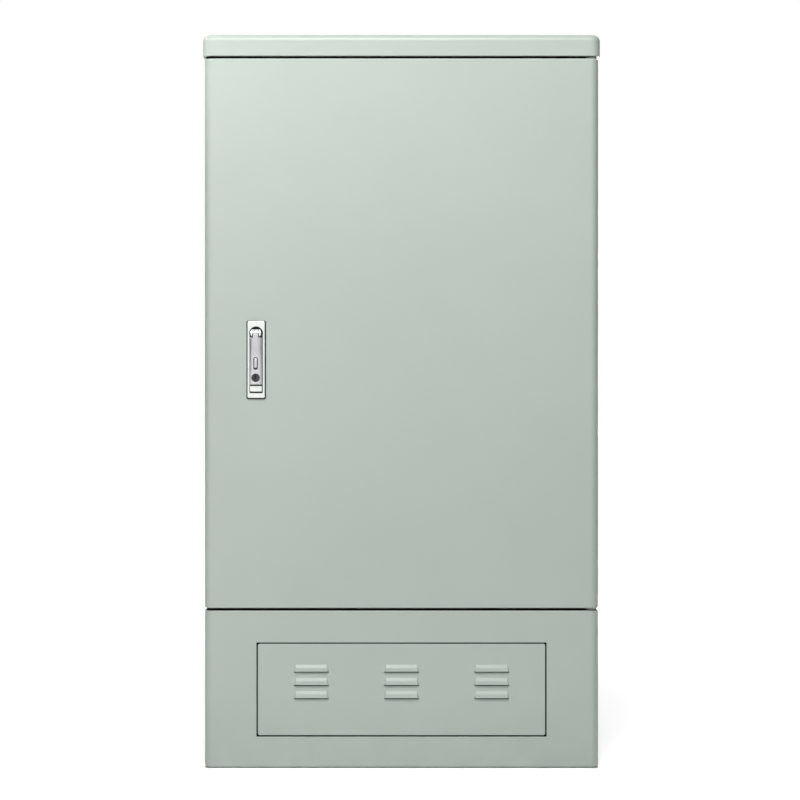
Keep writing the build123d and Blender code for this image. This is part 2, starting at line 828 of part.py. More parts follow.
# Pintle: a steel plate with the pin on which the door turns
def pintle_plate(depth, low_z, high_z):
    right = inner_x - pintle_plate_clearance
    front = front_y + moulding_wall + pintle_plate_clearance
    plate = block(right - pintle_plate_width, right, front, front + depth, low_z, high_z)
    corner = plate.edges().filter_by(Axis.Z).sort_by(lambda edge: edge.center().X - edge.center().Y)[-1]
    return fillet(corner, pintle_corner_radius)


def make_lower_hinge_pintle():
    plate_top_z = plinth_height - moulding_wall
    plate_low_z = plate_top_z - pintle_plate_thickness
    pintle = pintle_plate(lower_pintle_depth, plate_low_z, plate_top_z)
    return pintle + rod_z(pivot_x, pivot_y, plate_low_z, door_bottom_z + pivot_engagement, pivot_pin_radius)


def make_upper_hinge_pintle():
    plate_top_z = roof_top_z + pintle_plate_thickness
    pintle = pintle_plate(upper_pintle_depth, roof_top_z, plate_top_z)
    pintle += rod_z(pivot_x, pivot_y, door_top_z - pivot_engagement, plate_top_z, pivot_pin_radius)
    for x, y in hinge_bolt_places():
        hole_radius = small_bolt_radius + bolt_hole_gap
        pintle -= rod_z(x, y, roof_top_z - cut_overrun, plate_top_z + cut_overrun, hole_radius)
    return pintle


# Hinge bolts: through upper pintle, roof panel and side flange
def make_hinge_bolts():
    head_z = roof_top_z + pintle_plate_thickness
    nut_z = cap_z - moulding_wall - small_nut_height
    length = head_z - nut_z + bolt_thread_past_nut
    pieces = []
    for x, y in hinge_bolt_places():
        screw = bolt(small_bolt_radius, length, small_bolt_head_across, small_bolt_head_height)
        pieces.append(Pos(x, y, head_z) * screw)
        pieces.append(Pos(x, y, nut_z) * nut(small_bolt_radius, small_bolt_head_across, small_nut_height))
    return group(pieces)


# Hinge bushes: flanged sleeves in the door's top and bottom walls
def make_hinge_bushes():
    flange_height = door_gap - soft_gap
    bush = rod_z(0, 0, 0, pivot_boss_depth, bush_radius)
    bush += rod_z(0, 0, -flange_height, 0, bush_flange_radius)
    bore_radius = pivot_pin_radius + running_gap
    bush -= rod_z(0, 0, -flange_height - cut_overrun, pivot_boss_depth + cut_overrun, bore_radius)
    lower = Pos(pivot_x, pivot_y, door_bottom_z) * bush
    upper = Pos(pivot_x, pivot_y, door_top_z) * Rot(2 * quarter_turn, 0, 0) * bush
    return group([lower, upper])


# Door: a moulded pan with a seal rib, cross ribs, pivot bosses and the lock cut-out
def make_door_shell():
    shell = block(-side_x, side_x, front_y, door_back_y, door_bottom_z, door_top_z)
    shell = fillet(shell.edges().filter_by(Axis.Z).group_by(Axis.Y)[0], corner_radius)
    rims = shell.edges().group_by(Axis.Z)[0] + shell.edges().group_by(Axis.Z)[-1]
    rims = rims.filter_by(lambda edge: edge.center().Y < door_back_y - door_edge_radius)
    front_rims = rims.filter_by(lambda edge: edge.center().Y < front_y + corner_radius)
    shell = fillet(front_rims + rims.filter_by(Axis.Y), door_edge_radius)
    hollow = block(
        -inner_x, inner_x, door_skin_y, door_back_y + cut_overrun,
        door_bottom_z + moulding_wall, door_top_z - moulding_wall,
    )
    hollow = fillet(hollow.edges().filter_by(Axis.Z).group_by(Axis.Y)[0], corner_radius - moulding_wall)
    shell -= hollow
    rib_back_y = frame_front_y - gasket_height - soft_gap
    rib_front_y = front_y + moulding_wall / 2
    shell += seal_ring(door_rib_thickness, rib_front_y, rib_back_y)
    for share in door_cross_rib_shares:
        rib_z = door_bottom_z + share * door_height
        shell += block(
            -gasket_centre_x, gasket_centre_x, rib_front_y, door_skin_y + door_cross_rib_height,
            rib_z - door_rib_thickness / 2, rib_z + door_rib_thickness / 2,
        )
    half_wall = moulding_wall / 2
    boss_top_z = door_bottom_z + pivot_boss_depth
    boss_low_z = door_top_z - pivot_boss_depth
    shell += rod_z(pivot_x, pivot_y, door_bottom_z + half_wall, boss_top_z, pivot_boss_radius)
    shell += rod_z(pivot_x, pivot_y, boss_low_z, door_top_z - half_wall, pivot_boss_radius)
    bore_radius = bush_radius + press_gap
    shell -= rod_z(pivot_x, pivot_y, door_bottom_z - cut_overrun, boss_top_z + cut_overrun, bore_radius)
    shell -= rod_z(pivot_x, pivot_y, boss_low_z - cut_overrun, door_top_z + cut_overrun, bore_radius)
    cut_half = spigot_half_width + fit_gap
    shell -= block(
        lock_x - cut_half, lock_x + cut_half, front_y - cut_overrun, door_skin_y + cut_overrun,
        spigot_bottom_z - fit_gap, spigot_top_z + fit_gap,
    )
    return shell


# Document pocket: an open-topped tray bonded to the inside of the door skin
def make_document_pocket():
    low_x = lock_x + pocket_lock_room
    high_x = frame_opening_x - pocket_hinge_room
    low_z = door_bottom_z + pocket_bottom_share * door_height
    high_z = low_z + pocket_height
    back_y = door_skin_y + pocket_depth
    pocket = block(low_x, high_x, door_skin_y, back_y, low_z, high_z)
    pocket = fillet(pocket.edges().filter_by(Axis.Z).group_by(Axis.Y)[-1], 2 * pocket_wall)
    room = block(
        low_x + pocket_wall, high_x - pocket_wall, door_skin_y + pocket_wall, back_y - pocket_wall,
        low_z + pocket_wall, high_z + cut_overrun,
    )
    return pocket - fillet(room.edges().filter_by(Axis.Z).group_by(Axis.Y)[-1], pocket_wall)


# Lock plate: cast escutcheon with a spigot through the door skin
def make_lock_plate():
    half = lock_plate_width / 2
    plate = block(
        lock_x - half, lock_x + half, lock_front_y, lock_seal_front_y, lock_plate_bottom_z, lock_plate_top_z,
    )
    plate = fillet(plate.edges().filter_by(Axis.Y), lock_plate_corner_radius)
    plate = fillet(plate.edges().group_by(Axis.Y)[0], lock_plate_edge_radius)
    plate += block(
        lock_x - spigot_half_width, lock_x + spigot_half_width, front_y - moulding_wall / 2, spigot_back_y,
        spigot_bottom_z, spigot_top_z,
    )
    low_y = lock_front_y - cut_overrun
    high_y = spigot_back_y + cut_overrun
    bed_y = lock_front_y + handle_bed_depth
    bed_half = handle_width / 2 + handle_bed_gap
    bed_bottom_z = button_z - button_height / 2 - bed_below_button
    bed = block(lock_x - bed_half, lock_x + bed_half, low_y, bed_y, bed_bottom_z, spindle_z)
    bed = fillet(bed.edges().filter_by(Axis.Y).group_by(Axis.Z)[0], lock_plate_corner_radius)
    plate -= bed
    plate -= rod_y(lock_x, low_y, bed_y, spindle_z, bed_half)
    plate -= rod_y(lock_x, low_y, high_y, spindle_z, spindle_hole_radius)
    slot_x = button_width / 2 + button_slot_gap
    slot_z = button_height / 2 + button_slot_gap
    plate -= block(lock_x - slot_x, lock_x + slot_x, low_y, high_y, button_z - slot_z, button_z + slot_z)
    thread_y = bed_y + lock_screw_cover
    for drop in lock_screw_drops:
        plate -= rod_y(lock_x, thread_y, high_y, spindle_z - drop, lock_screw_radius + press_gap)
    return plate


# Lock seal: a flat rubber frame between the plate and the door, a little larger than the plate
def make_lock_seal():
    half = lock_plate_width / 2 + lock_seal_border
    seal = block(
        lock_x - half, lock_x + half, lock_seal_front_y, front_y,
        lock_plate_bottom_z - lock_seal_border, lock_plate_top_z + lock_seal_top_border,
    )
    seal = fillet(seal.edges().filter_by(Axis.Y), lock_plate_corner_radius)
    hole = spigot_half_width + fit_gap
    seal -= block(
        lock_x - hole, lock_x + hole, lock_seal_front_y - cut_overrun, front_y + cut_overrun,
        spigot_bottom_z - fit_gap, spigot_top_z + fit_gap,
    )
    return seal


# Lock spindle: a turned head with two ears, a shaft, a square for the cam and a stud
def make_lock_spindle():
    head_front_y = lock_front_y + spindle_head_recess
    head_radius = spindle_hole_radius - running_gap
    spindle = rod_y(lock_x, head_front_y, spigot_back_y, spindle_z, head_radius)
    reach = rod_y(lock_x, handle_front_y - ear_radius, spigot_back_y, spindle_z, ear_round_radius)
    for side in (-1, 1):
        low_x = lock_x + min(side * ear_inner, side * ear_outer)
        high_x = lock_x + max(side * ear_inner, side * ear_outer)
        ear = rod_x(low_x, high_x, handle_pin_y, spindle_z, ear_radius)
        ear += block(
            low_x, high_x, handle_pin_y, head_front_y + moulding_wall / 2,
            spindle_z - ear_radius, spindle_z + ear_radius,
        )
        spindle += ear & reach
    pin_hole = rod_x(
        lock_x - head_radius, lock_x + head_radius, handle_pin_y, spindle_z, handle_pin_radius + press_gap,
    )
    spindle -= pin_hole
    spindle += rod_y(lock_x, head_front_y + press_gap, cam_front_y, spindle_z, spindle_shaft_radius)
    half = cam_square / 2
    spindle += block(
        lock_x - half, lock_x + half, cam_front_y - cam_thickness, cam_back_y,
        spindle_z - half, spindle_z + half,
    )
    stud_back_y = cam_back_y + small_nut_height + bolt_thread_past_nut
    spindle += rod_y(lock_x, cam_back_y - cam_thickness, stud_back_y, spindle_z, spindle_stud_radius)
    return spindle


# Handle pin: across the ears, through the handle's neck
def make_handle_pin():
    return rod_x(lock_x - ear_outer, lock_x + ear_outer, handle_pin_y, spindle_z, handle_pin_radius)


# An upright oval, standing along Y
def oval(width, length, y_low, y_high, z):
    shape = block(
        lock_x - width / 2, lock_x + width / 2, y_low, y_high, z - length / 2, z + length / 2,
    )
    return fillet(shape.edges().filter_by(Axis.Y), width * oval_round_share)


# Handle: a cast bar with crowned edges, a neck, an oval mark and the bore of the key cylinder
def make_lock_handle():
    half = handle_width / 2
    bar = block(
        lock_x - half, lock_x + half, handle_front_y, handle_back_y, handle_bottom_z, handle_shoulder_z,
    )
    crown_radius = (half * half + handle_crown * handle_crown) / (2 * handle_crown)
    crown_y = handle_front_y + crown_radius
    bar &= rod_z(
        lock_x, crown_y, handle_bottom_z - cut_overrun, handle_shoulder_z + cut_overrun, crown_radius,
    )
    bar = fillet(bar.edges().filter_by(Axis.Z).group_by(Axis.Y)[0], handle_edge_radius)
    end_edges = bar.edges().group_by(Axis.Z)[0].filter_by(lambda edge: edge.center().Y < handle_pin_y)
    bar = fillet(end_edges, handle_end_radius)
    neck_x = handle_neck_half_width
    neck = rod_x(lock_x - neck_x, lock_x + neck_x, handle_pin_y, spindle_z, handle_neck_radius)
    neck += block(
        lock_x - neck_x, lock_x + neck_x,
        handle_pin_y - handle_neck_radius, handle_pin_y + handle_neck_radius,
        handle_shoulder_z - handle_end_radius, spindle_z,
    )
    bar += neck
    bar -= rod_x(lock_x - half, lock_x + half, handle_pin_y, spindle_z, handle_pin_radius + running_gap)
    mark_floor_y = handle_front_y + mark_depth
    bar -= oval(mark_width, mark_length, handle_front_y - cut_overrun, mark_floor_y, mark_z)
    island_front_y = handle_front_y + mark_island_recess
    island_width = mark_width - 2 * mark_rim
    island_length = mark_length - 2 * mark_rim
    bar += oval(island_width, island_length, island_front_y, mark_floor_y + mark_depth, mark_z)
    bar -= rod_y(lock_x, handle_front_y - cut_overrun, handle_back_y + cut_overrun, key_z, key_bore_radius)
    return bar


# Key cylinder: a plug turning in the handle, with a keyway in its face
def make_lock_cylinder():
    face_y = handle_front_y + key_recess
    plug = rod_y(lock_x, face_y, handle_back_y - soft_gap, key_z, key_bore_radius - running_gap)
    half = keyway_width / 2
    plug -= block(
        lock_x - half, lock_x + half, face_y - cut_overrun, face_y + keyway_depth,
        key_z - keyway_length / 2, key_z + keyway_length / 2,
    )
    return plug


# Release button: a push piece below the handle, with a stem through the clamp plate
def make_release_button():
    half_x = button_width / 2
    half_z = button_height / 2
    face_y = lock_front_y - button_proud
    back_y = spigot_back_y - button_travel - soft_gap
    button = block(lock_x - half_x, lock_x + half_x, face_y, back_y, button_z - half_z, button_z + half_z)
    button = fillet(button.edges().group_by(Axis.Y)[0], button_edge_radius)
    groove_z = button_z + button_groove_rise
    button -= block(
        lock_x - half_x, lock_x + half_x, face_y - cut_overrun, face_y + button_groove_depth,
        groove_z - button_groove_height / 2, groove_z + button_groove_height / 2,
    )
    stem_y = clamp_plate_back_y + button_stem_length / 2
    return button + rod_y(lock_x, back_y - button_edge_radius, stem_y, button_z, button_stem_radius)


# Clamp plate: steel plate that pulls the lock plate against the door skin
def make_lock_clamp_plate():
    half = spigot_half_width + clamp_plate_side_margin
    plate = block(
        lock_x - half, lock_x + half, door_skin_y, clamp_plate_back_y,
        lock_plate_bottom_z - clamp_plate_end_margin, lock_plate_top_z + clamp_plate_end_margin,
    )
    plate = fillet(plate.edges().filter_by(Axis.Y), lock_plate_corner_radius)
    low_y = door_skin_y - cut_overrun
    high_y = clamp_plate_back_y + cut_overrun
    plate -= rod_y(lock_x, low_y, high_y, spindle_z, spindle_shaft_radius + running_gap)
    plate -= rod_y(lock_x, low_y, high_y, button_z, button_stem_radius + button_slot_gap)
    for drop in lock_screw_drops:
        plate -= rod_y(lock_x, low_y, high_y, spindle_z - drop, lock_screw_radius + button_slot_gap)
    return plate


# Lock screws: from behind, through the clamp plate into the spigot
def make_lock_screws():
    tip_y = lock_front_y + handle_bed_depth + lock_screw_cover + fit_gap
    length = clamp_plate_back_y - tip_y
    screw = round_screw(lock_screw_radius, length, lock_screw_head_radius, lock_screw_head_height)
    turn = Rot(-quarter_turn, 0, 0)
    heights = [spindle_z - drop for drop in lock_screw_drops]
    return group([Pos(lock_x, clamp_plate_back_y, z) * turn * screw for z in heights])


# Cam: a flat steel plate on the spindle's square
def make_lock_cam():
    half_x = cam_width / 2
    half_z = cam_pin_offset + half_x
    cam = block(
        lock_x - half_x, lock_x + half_x, cam_front_y, cam_back_y, spindle_z - half_z, spindle_z + half_z,
    )
    cam = fillet(cam.edges().filter_by(Axis.Y), cam_width * oval_round_share)
    low_y = cam_front_y - cut_overrun
    high_y = cam_back_y + cut_overrun
    half = cam_square / 2 + running_gap
    cam -= block(lock_x - half, lock_x + half, low_y, high_y, spindle_z - half, spindle_z + half)
    for side in (-1, 1):
        cam -= rod_y(lock_x, low_y, high_y, spindle_z + side * cam_pin_offset, rod_pin_radius + press_gap)
    return cam


# Cam nut: on the spindle's stud
def make_cam_nut():
    place = Pos(lock_x, cam_back_y, spindle_z) * Rot(-quarter_turn, 0, 0)
    return place * nut(spindle_stud_radius, small_bolt_head_across, small_nut_height)


# Cam pins: riveted in the cam, with heads that keep the rods on
def make_cam_pins():
    head_y = rod_back_y + rod_gap
    pins = []
    for side in (-1, 1):
        pin_z = spindle_z + side * cam_pin_offset
        pin = rod_y(lock_x, cam_front_y, head_y, pin_z, rod_pin_radius)
        pins.append(pin + rod_y(lock_x, head_y, head_y + rod_pin_head_height, pin_z, rod_pin_head_radius))
    return group(pins)


# Lock rod: a flat steel bar from a cam pin towards the frame
def lock_rod(pin_z, tip_z):
    away = 1 if tip_z > pin_z else -1
    near_z = pin_z - away * rod_end_margin
    half = rod_width / 2
    rod = block(
        lock_x - half, lock_x + half, rod_front_y, rod_back_y, min(near_z, tip_z), max(near_z, tip_z),
    )
    rod = fillet(rod.edges().filter_by(Axis.Y), rod_width * rod_round_share)
    return rod - rod_y(
        lock_x, rod_front_y - cut_overrun, rod_back_y + cut_overrun, pin_z, rod_pin_radius + running_gap,
    )


def make_upper_lock_rod():
    return lock_rod(spindle_z + cam_pin_offset, frame_opening_top_z - rod_tip_gap)


def make_lower_lock_rod():
    return lock_rod(spindle_z - cam_pin_offset, frame_opening_bottom_z + rod_tip_gap)


# Rod guides: sheet loops on the door skin, wide enough for the rods to sway
def make_rod_guides():
    inner = rod_width / 2 + rod_guide_slack
    outer = inner + rod_guide_sheet
    rear_y = rod_back_y + rod_guide_gap
    front_bridge_y = rod_front_y - rod_guide_gap
    foot_back_y = door_skin_y + rod_guide_sheet
    guides = []
    upper_middle = frame_opening_top_z - rod_tip_gap - rod_guide_inset
    lower_middle = frame_opening_bottom_z + rod_tip_gap + rod_guide_inset
    for middle in (lower_middle, upper_middle):
        low = middle - rod_guide_height / 2
        high = middle + rod_guide_height / 2
        guide = block(lock_x - outer, lock_x + outer, rear_y, rear_y + rod_guide_sheet, low, high)
        guide += block(
            lock_x - outer, lock_x + outer, front_bridge_y - rod_guide_sheet, front_bridge_y, low, high,
        )
        for hand in (-1, 1):
            near = lock_x + hand * inner
            far = lock_x + hand * outer
            toe = far + hand * rod_guide_foot
            guide += block(min(near, far), max(near, far), door_skin_y, rear_y + rod_guide_sheet, low, high)
            guide += block(min(near, toe), max(near, toe), door_skin_y, foot_back_y, low, high)
        guides.append(guide)
    return group(guides)


# Heights of the screws that hold modules, splice cover and clamp bar to the uprights
def upright_screw_heights():
    modules = [module_first_z + (index + half_share) * module_pitch for index in range(module_count)]
    return modules + [splice_box_z + splice_box_height / 2, floor_top_z + clamp_bar_rise]


# Upright: a folded channel, open to the rear, with welded feet at floor and roof
def upright(x):
    half = upright_width / 2
    post = block(x - half, x + half, upright_front_y, upright_back_y, floor_top_z, cap_z)
    post -= block(
        x - half + upright_sheet, x + half - upright_sheet,
        upright_front_y + upright_sheet, upright_back_y + cut_overrun,
        floor_top_z + upright_foot_thickness, cap_z - upright_foot_thickness,
    )
    foot_back_y = upright_back_y + upright_foot_depth
    hole_radius = small_bolt_radius + bolt_hole_gap
    for low_z in (floor_top_z, cap_z - upright_foot_thickness):
        high_z = low_z + upright_foot_thickness
        post += block(x - half, x + half, upright_front_y, foot_back_y, low_z, high_z)
        for bolt_x, bolt_y in rack_bolt_places():
            post -= rod_z(bolt_x, bolt_y, low_z - cut_overrun, high_z + cut_overrun, hole_radius)
    for z in upright_screw_heights():
        post -= rod_y(
            x, upright_front_y - cut_overrun, upright_front_y + upright_sheet + cut_overrun, z,
            module_screw_radius + press_gap,
        )
    return post


# Rack bolts: through the uprights' feet at floor and roof
def make_rack_bolts():
    floor_nut_z = floor_z - small_nut_height
    foot_top_z = floor_top_z + upright_foot_thickness
    roof_foot_z = cap_z - upright_foot_thickness
    floor_length = foot_top_z - floor_nut_z + bolt_thread_past_nut
    roof_length = roof_top_z - roof_foot_z + small_nut_height + bolt_thread_past_nut
    turn = Rot(2 * quarter_turn, 0, 0)
    ring = nut(small_bolt_radius, small_bolt_head_across, small_nut_height)
    pieces = []
    for x, y in rack_bolt_places():
        lower = bolt(small_bolt_radius, floor_length, small_bolt_head_across, small_bolt_head_height)
        upper = bolt(small_bolt_radius, roof_length, small_bolt_head_across, small_bolt_head_height)
        pieces.append(Pos(x, y, foot_top_z) * lower)
        pieces.append(Pos(x, y, floor_nut_z) * ring)
        pieces.append(Pos(x, y, roof_foot_z) * turn * upper)
        pieces.append(Pos(x, y, roof_top_z) * ring)
    return group(pieces)


# Places of the adapters in a module, seen from the front
def adapter_places():
    columns = [rack_centre_x + x for x in spread(adapter_columns, adapter_pitch_x)]
    return [(x, z) for x in columns for z in spread(adapter_rows, adapter_pitch_z)]


def module_middle(index):
    return module_first_z + (index + half_share) * module_pitch


# Patch module: a closed sheet box behind a front plate with a window for each adapter
def patch_module(index):
    middle = module_middle(index)
    half_plate = module_plate_height / 2
    half_box = module_box_height / 2
    left = rack_centre_x - module_half_width
    right = rack_centre_x + module_half_width
    body = block(
        rack_centre_x - module_plate_half, rack_centre_x + module_plate_half,
        plate_front_y, upright_front_y, middle - half_plate, middle + half_plate,
    )
    body += block(left, right, upright_front_y, module_back_y, middle - half_box, middle + half_box)
    body -= block(
        left + module_wall, right - module_wall, upright_front_y, module_back_y - module_wall,
        middle - half_box + module_wall, middle + half_box - module_wall,
    )
    window_x = adapter_width / 2 + adapter_window_gap
    window_z = adapter_height / 2 + adapter_window_gap
    for x, z in adapter_places():
        body -= block(
            x - window_x, x + window_x, plate_front_y - cut_overrun, upright_front_y + cut_overrun,
            middle + z - window_z, middle + z + window_z,
        )
    for x in (left_upright_x, right_upright_x):
        body -= rod_y(
            x, plate_front_y - cut_overrun, upright_front_y + cut_overrun, middle,
            module_screw_radius + bolt_hole_gap,
        )
    return body


# Fibre adapters: square couplers with a flange on the module's face and a socket in front
def make_fibre_adapters():
    half_x = adapter_width / 2
    half_z = adapter_height / 2
    face_y = plate_front_y - adapter_front_length
    body = block(-half_x, half_x, face_y, upright_front_y + adapter_rear_length, -half_z, half_z)
    flange_x = adapter_flange_width / 2
    flange_z = adapter_flange_height / 2
    flange_y = plate_front_y - adapter_flange_thickness
    body += block(-flange_x, flange_x, flange_y, plate_front_y, -flange_z, flange_z)
    socket_x = adapter_socket_width / 2
    socket_z = adapter_socket_height / 2
    body -= block(
        -socket_x, socket_x, face_y - cut_overrun, face_y + adapter_socket_depth, -socket_z, socket_z,
    )
    places = adapter_places()
    heights = [module_middle(index) for index in range(module_count)]
    return group([Pos(x, 0, z + height) * body for height in heights for x, z in places])


# Dust caps: stoppers in the adapters' sockets
def make_dust_caps():
    face_y = plate_front_y - adapter_front_length
    plug_x = adapter_socket_width / 2 - cap_plug_gap
    plug_z = adapter_socket_height / 2 - cap_plug_gap
    cap = block(-plug_x, plug_x, face_y, face_y + adapter_socket_depth, -plug_z, plug_z)
    grip_x = cap_grip_width / 2
    grip_z = cap_grip_height / 2
    cap += block(-grip_x, grip_x, face_y - cap_grip_length, face_y, -grip_z, grip_z)
    places = adapter_places()
    heights = [module_middle(index) for index in range(module_count)]
    return group([Pos(x, 0, z + height) * cap for height in heights for x, z in places])


# Splice box: a sheet box with its open side to the front
def make_splice_box():
    low_z = splice_box_z + splice_cover_margin
    high_z = splice_box_z + splice_box_height - splice_cover_margin
    left = rack_centre_x - module_half_width
    right = rack_centre_x + module_half_width
    back_y = rear_panel_front_y - splice_box_rear_room
    box = block(left, right, upright_front_y, back_y, low_z, high_z)
    return box - block(
        left + module_wall, right - module_wall, upright_front_y - cut_overrun, back_y - module_wall,
        low_z + module_wall, high_z - module_wall,
    )


# Splice box cover: a front plate whose ears reach over the uprights
def make_splice_box_cover():
    cover = block(
        rack_centre_x - module_plate_half, rack_centre_x + module_plate_half,
        plate_front_y, upright_front_y, splice_box_z, splice_box_z + splice_box_height,
    )
    for x in (left_upright_x, right_upright_x):
        cover -= rod_y(
            x, plate_front_y - cut_overrun, upright_front_y + cut_overrun,
            splice_box_z + splice_box_height / 2,
            module_screw_radius + bolt_hole_gap,
        )
    return cover


# Equipment screws: modules, splice cover and clamp bar to the uprights, clamps to their bar
def make_equipment_screws():
    screw = round_screw(
        module_screw_radius, module_screw_length, module_screw_head_radius, module_screw_head_height,
    )
    turn = Rot(quarter_turn, 0, 0)
    pieces = []
    for z in upright_screw_heights():
        for x in (left_upright_x, right_upright_x):
            pieces.append(Pos(x, plate_front_y, z) * turn * screw)
    for x in clamp_screw_places():
        pieces.append(Pos(x, clamp_bar_front_y - clamp_wall, clamp_bar_z) * turn * screw)
    return group(pieces)


# Spool panel: a folded sheet standing on the floor plate, left of the uprights
def make_spool_panel():
    left = -inner_x + spool_panel_gap
    right = left_upright_x - upright_width / 2 - spool_panel_gap
    back_y = spool_panel_y + spool_panel_sheet
    foot_left = -bolt_line_x + base_bolt_head_across
    notch_z = floor_top_z + spool_panel_notch_height
    panel = block(left, right, spool_panel_y, back_y, notch_z, spool_panel_top_z)
    panel += block(foot_left, right, spool_panel_y, back_y, floor_top_z, notch_z)
    foot_top_z = floor_top_z + spool_panel_sheet
    panel += block(foot_left, right, spool_panel_y, back_y + spool_panel_foot, floor_top_z, foot_top_z)
    for z in spool_heights():
        panel -= rod_y(
            spool_x, spool_panel_y - cut_overrun, back_y + cut_overrun, z, spool_screw_radius + press_gap,
        )
    return panel


def spool_heights():
    first_z = floor_top_z + spool_end_margin
    step = (spool_panel_top_z - spool_end_margin - first_z) / (spool_count - 1)
    return [first_z + index * step for index in range(spool_count)]


# Storage spools: moulded hubs with a wide front flange, open in front
def make_storage_spools():
    front_spool_y = spool_panel_y - spool_length
    floor_y = spool_panel_y - spool_flange_thickness
    spool = rod_y(0, front_spool_y, spool_panel_y, 0, spool_hub_radius)
    spool += rod_y(0, front_spool_y, front_spool_y + spool_flange_thickness, 0, spool_flange_radius)
    spool -= rod_y(0, front_spool_y - cut_overrun, floor_y, 0, spool_bore_radius)
    hole_radius = spool_screw_radius + bolt_hole_gap
    spool -= rod_y(0, floor_y - cut_overrun, spool_panel_y + cut_overrun, 0, hole_radius)
    return group([Pos(spool_x, 0, z) * spool for z in spool_heights()])


# Spool screws: inside the hubs, into the panel
def make_spool_screws():
    screw = round_screw(
        spool_screw_radius, spool_screw_length, spool_screw_head_radius, spool_screw_head_height,
    )
    head_y = spool_panel_y - spool_flange_thickness
    turn = Rot(quarter_turn, 0, 0)
    return group([Pos(spool_x, head_y, z) * turn * screw for z in spool_heights()])


# Fibre rings: moulded loops on the right upright's flank, slit in front
def make_fibre_rings():
    left = right_upright_x + upright_width / 2
    right = left + ring_width
    front = upright_front_y - ring_depth / 2
    back = front + ring_depth
    half = ring_height / 2
    ring = block(left, right, front, back, -half, half)
    ring = fillet(ring.edges().filter_by(Axis.Z).group_by(Axis.X)[-1], ring_corner_radius)
    room = block(
        left + ring_section, right - ring_section, front + ring_section, back - ring_section,
        -half - cut_overrun, half + cut_overrun,
    )
    ring -= fillet(room.edges().filter_by(Axis.Z).group_by(Axis.X)[-1], ring_corner_radius - ring_section)
    middle = (left + right) / 2
    slit = ring_section / 2
    ring -= block(
        middle - slit, middle + slit, front - cut_overrun, front + ring_section + cut_overrun,
        -half - cut_overrun, half + cut_overrun,
    )
    first_z = floor_top_z + ring_end_margin
    step = (cap_z - ring_end_margin - first_z) / (ring_count - 1)
    heights = [first_z + index * step for index in range(ring_count)]
    return group([Pos(0, 0, z) * ring for z in heights])


# Cable clamp bar: a flat bar across the uprights
def make_cable_clamp_bar():
    half = clamp_bar_height / 2
    bar = block(
        rack_centre_x - module_plate_half, rack_centre_x + module_plate_half,
        clamp_bar_front_y, upright_front_y, clamp_bar_z - half, clamp_bar_z + half,
    )
    for x in (left_upright_x, right_upright_x):
        bar -= rod_y(
            x, clamp_bar_front_y - cut_overrun, upright_front_y + cut_overrun, clamp_bar_z,
            module_screw_radius + bolt_hole_gap,
        )
    for x in clamp_screw_places():
        bar -= rod_y(
            x, clamp_bar_front_y - cut_overrun, upright_front_y + cut_overrun, clamp_bar_z,
            module_screw_radius + press_gap,
        )
    return bar


def clamp_screw_places():
    reach = clamp_inside / 2 + clamp_wall + clamp_ear / 2
    return [rack_centre_x + x + side * reach for x in spread(clamp_count, clamp_pitch) for side in (-1, 1)]


# Cable clamps: arched saddles that hold a cable against the bar
def make_cable_clamps():
    half = clamp_height / 2
    arch = clamp_inside / 2 + clamp_wall
    toe = arch + clamp_ear
    front = clamp_bar_front_y - clamp_inside - clamp_wall
    low = clamp_bar_z - half
    high = clamp_bar_z + half
    clamp = block(-arch, arch, front, clamp_bar_front_y, low, high)
    clamp = fillet(clamp.edges().filter_by(Axis.Z).group_by(Axis.Y)[0], arch - clamp_wall / 2)
    clamp += block(-toe, toe, clamp_bar_front_y - clamp_wall, clamp_bar_front_y, low, high)
    room = block(
        -clamp_inside / 2, clamp_inside / 2, front + clamp_wall, clamp_bar_front_y + cut_overrun,
        low - cut_overrun, high + cut_overrun,
    )
    clamp -= fillet(room.edges().filter_by(Axis.Z).group_by(Axis.Y)[0], clamp_inside / 2 - clamp_wall / 2)
    for side in (-1, 1):
        clamp -= rod_y(
            side * (arch + clamp_ear / 2), clamp_bar_front_y - clamp_wall - cut_overrun,
            clamp_bar_front_y + cut_overrun, clamp_bar_z, module_screw_radius + bolt_hole_gap,
        )
    return group([Pos(rack_centre_x + x, 0, 0) * clamp for x in spread(clamp_count, clamp_pitch)])


# Earth bar: a flat brass bar with a row of bolts, held off the uprights by insulators
def earth_bolt_places():
    return [rack_centre_x + x for x in spread(earth_bolt_count, earth_bolt_pitch)]


def make_earth_bar():
    half = earth_bar_height / 2
    left = left_upright_x - upright_width / 2
    right = right_upright_x + upright_width / 2
    bar = block(left, right, earth_front_y, earth_back_y, earth_bar_z - half, earth_bar_z + half)
    for x in earth_bolt_places() + [left_upright_x, right_upright_x]:
        bar -= rod_y(
            x, earth_front_y - cut_overrun, earth_back_y + cut_overrun, earth_bar_z,
            small_bolt_radius + bolt_hole_gap,
        )
    return bar


def make_earth_insulators():
    bore_y = earth_back_y + insulator_length / 2
    pieces = []
    for x in (left_upright_x, right_upright_x):
        piece = rod_y(x, earth_back_y, upright_front_y, earth_bar_z, insulator_radius)
        piece -= rod_y(x, earth_back_y - cut_overrun, bore_y, earth_bar_z, small_bolt_radius + press_gap)
        pieces.append(piece)
    return group(pieces)


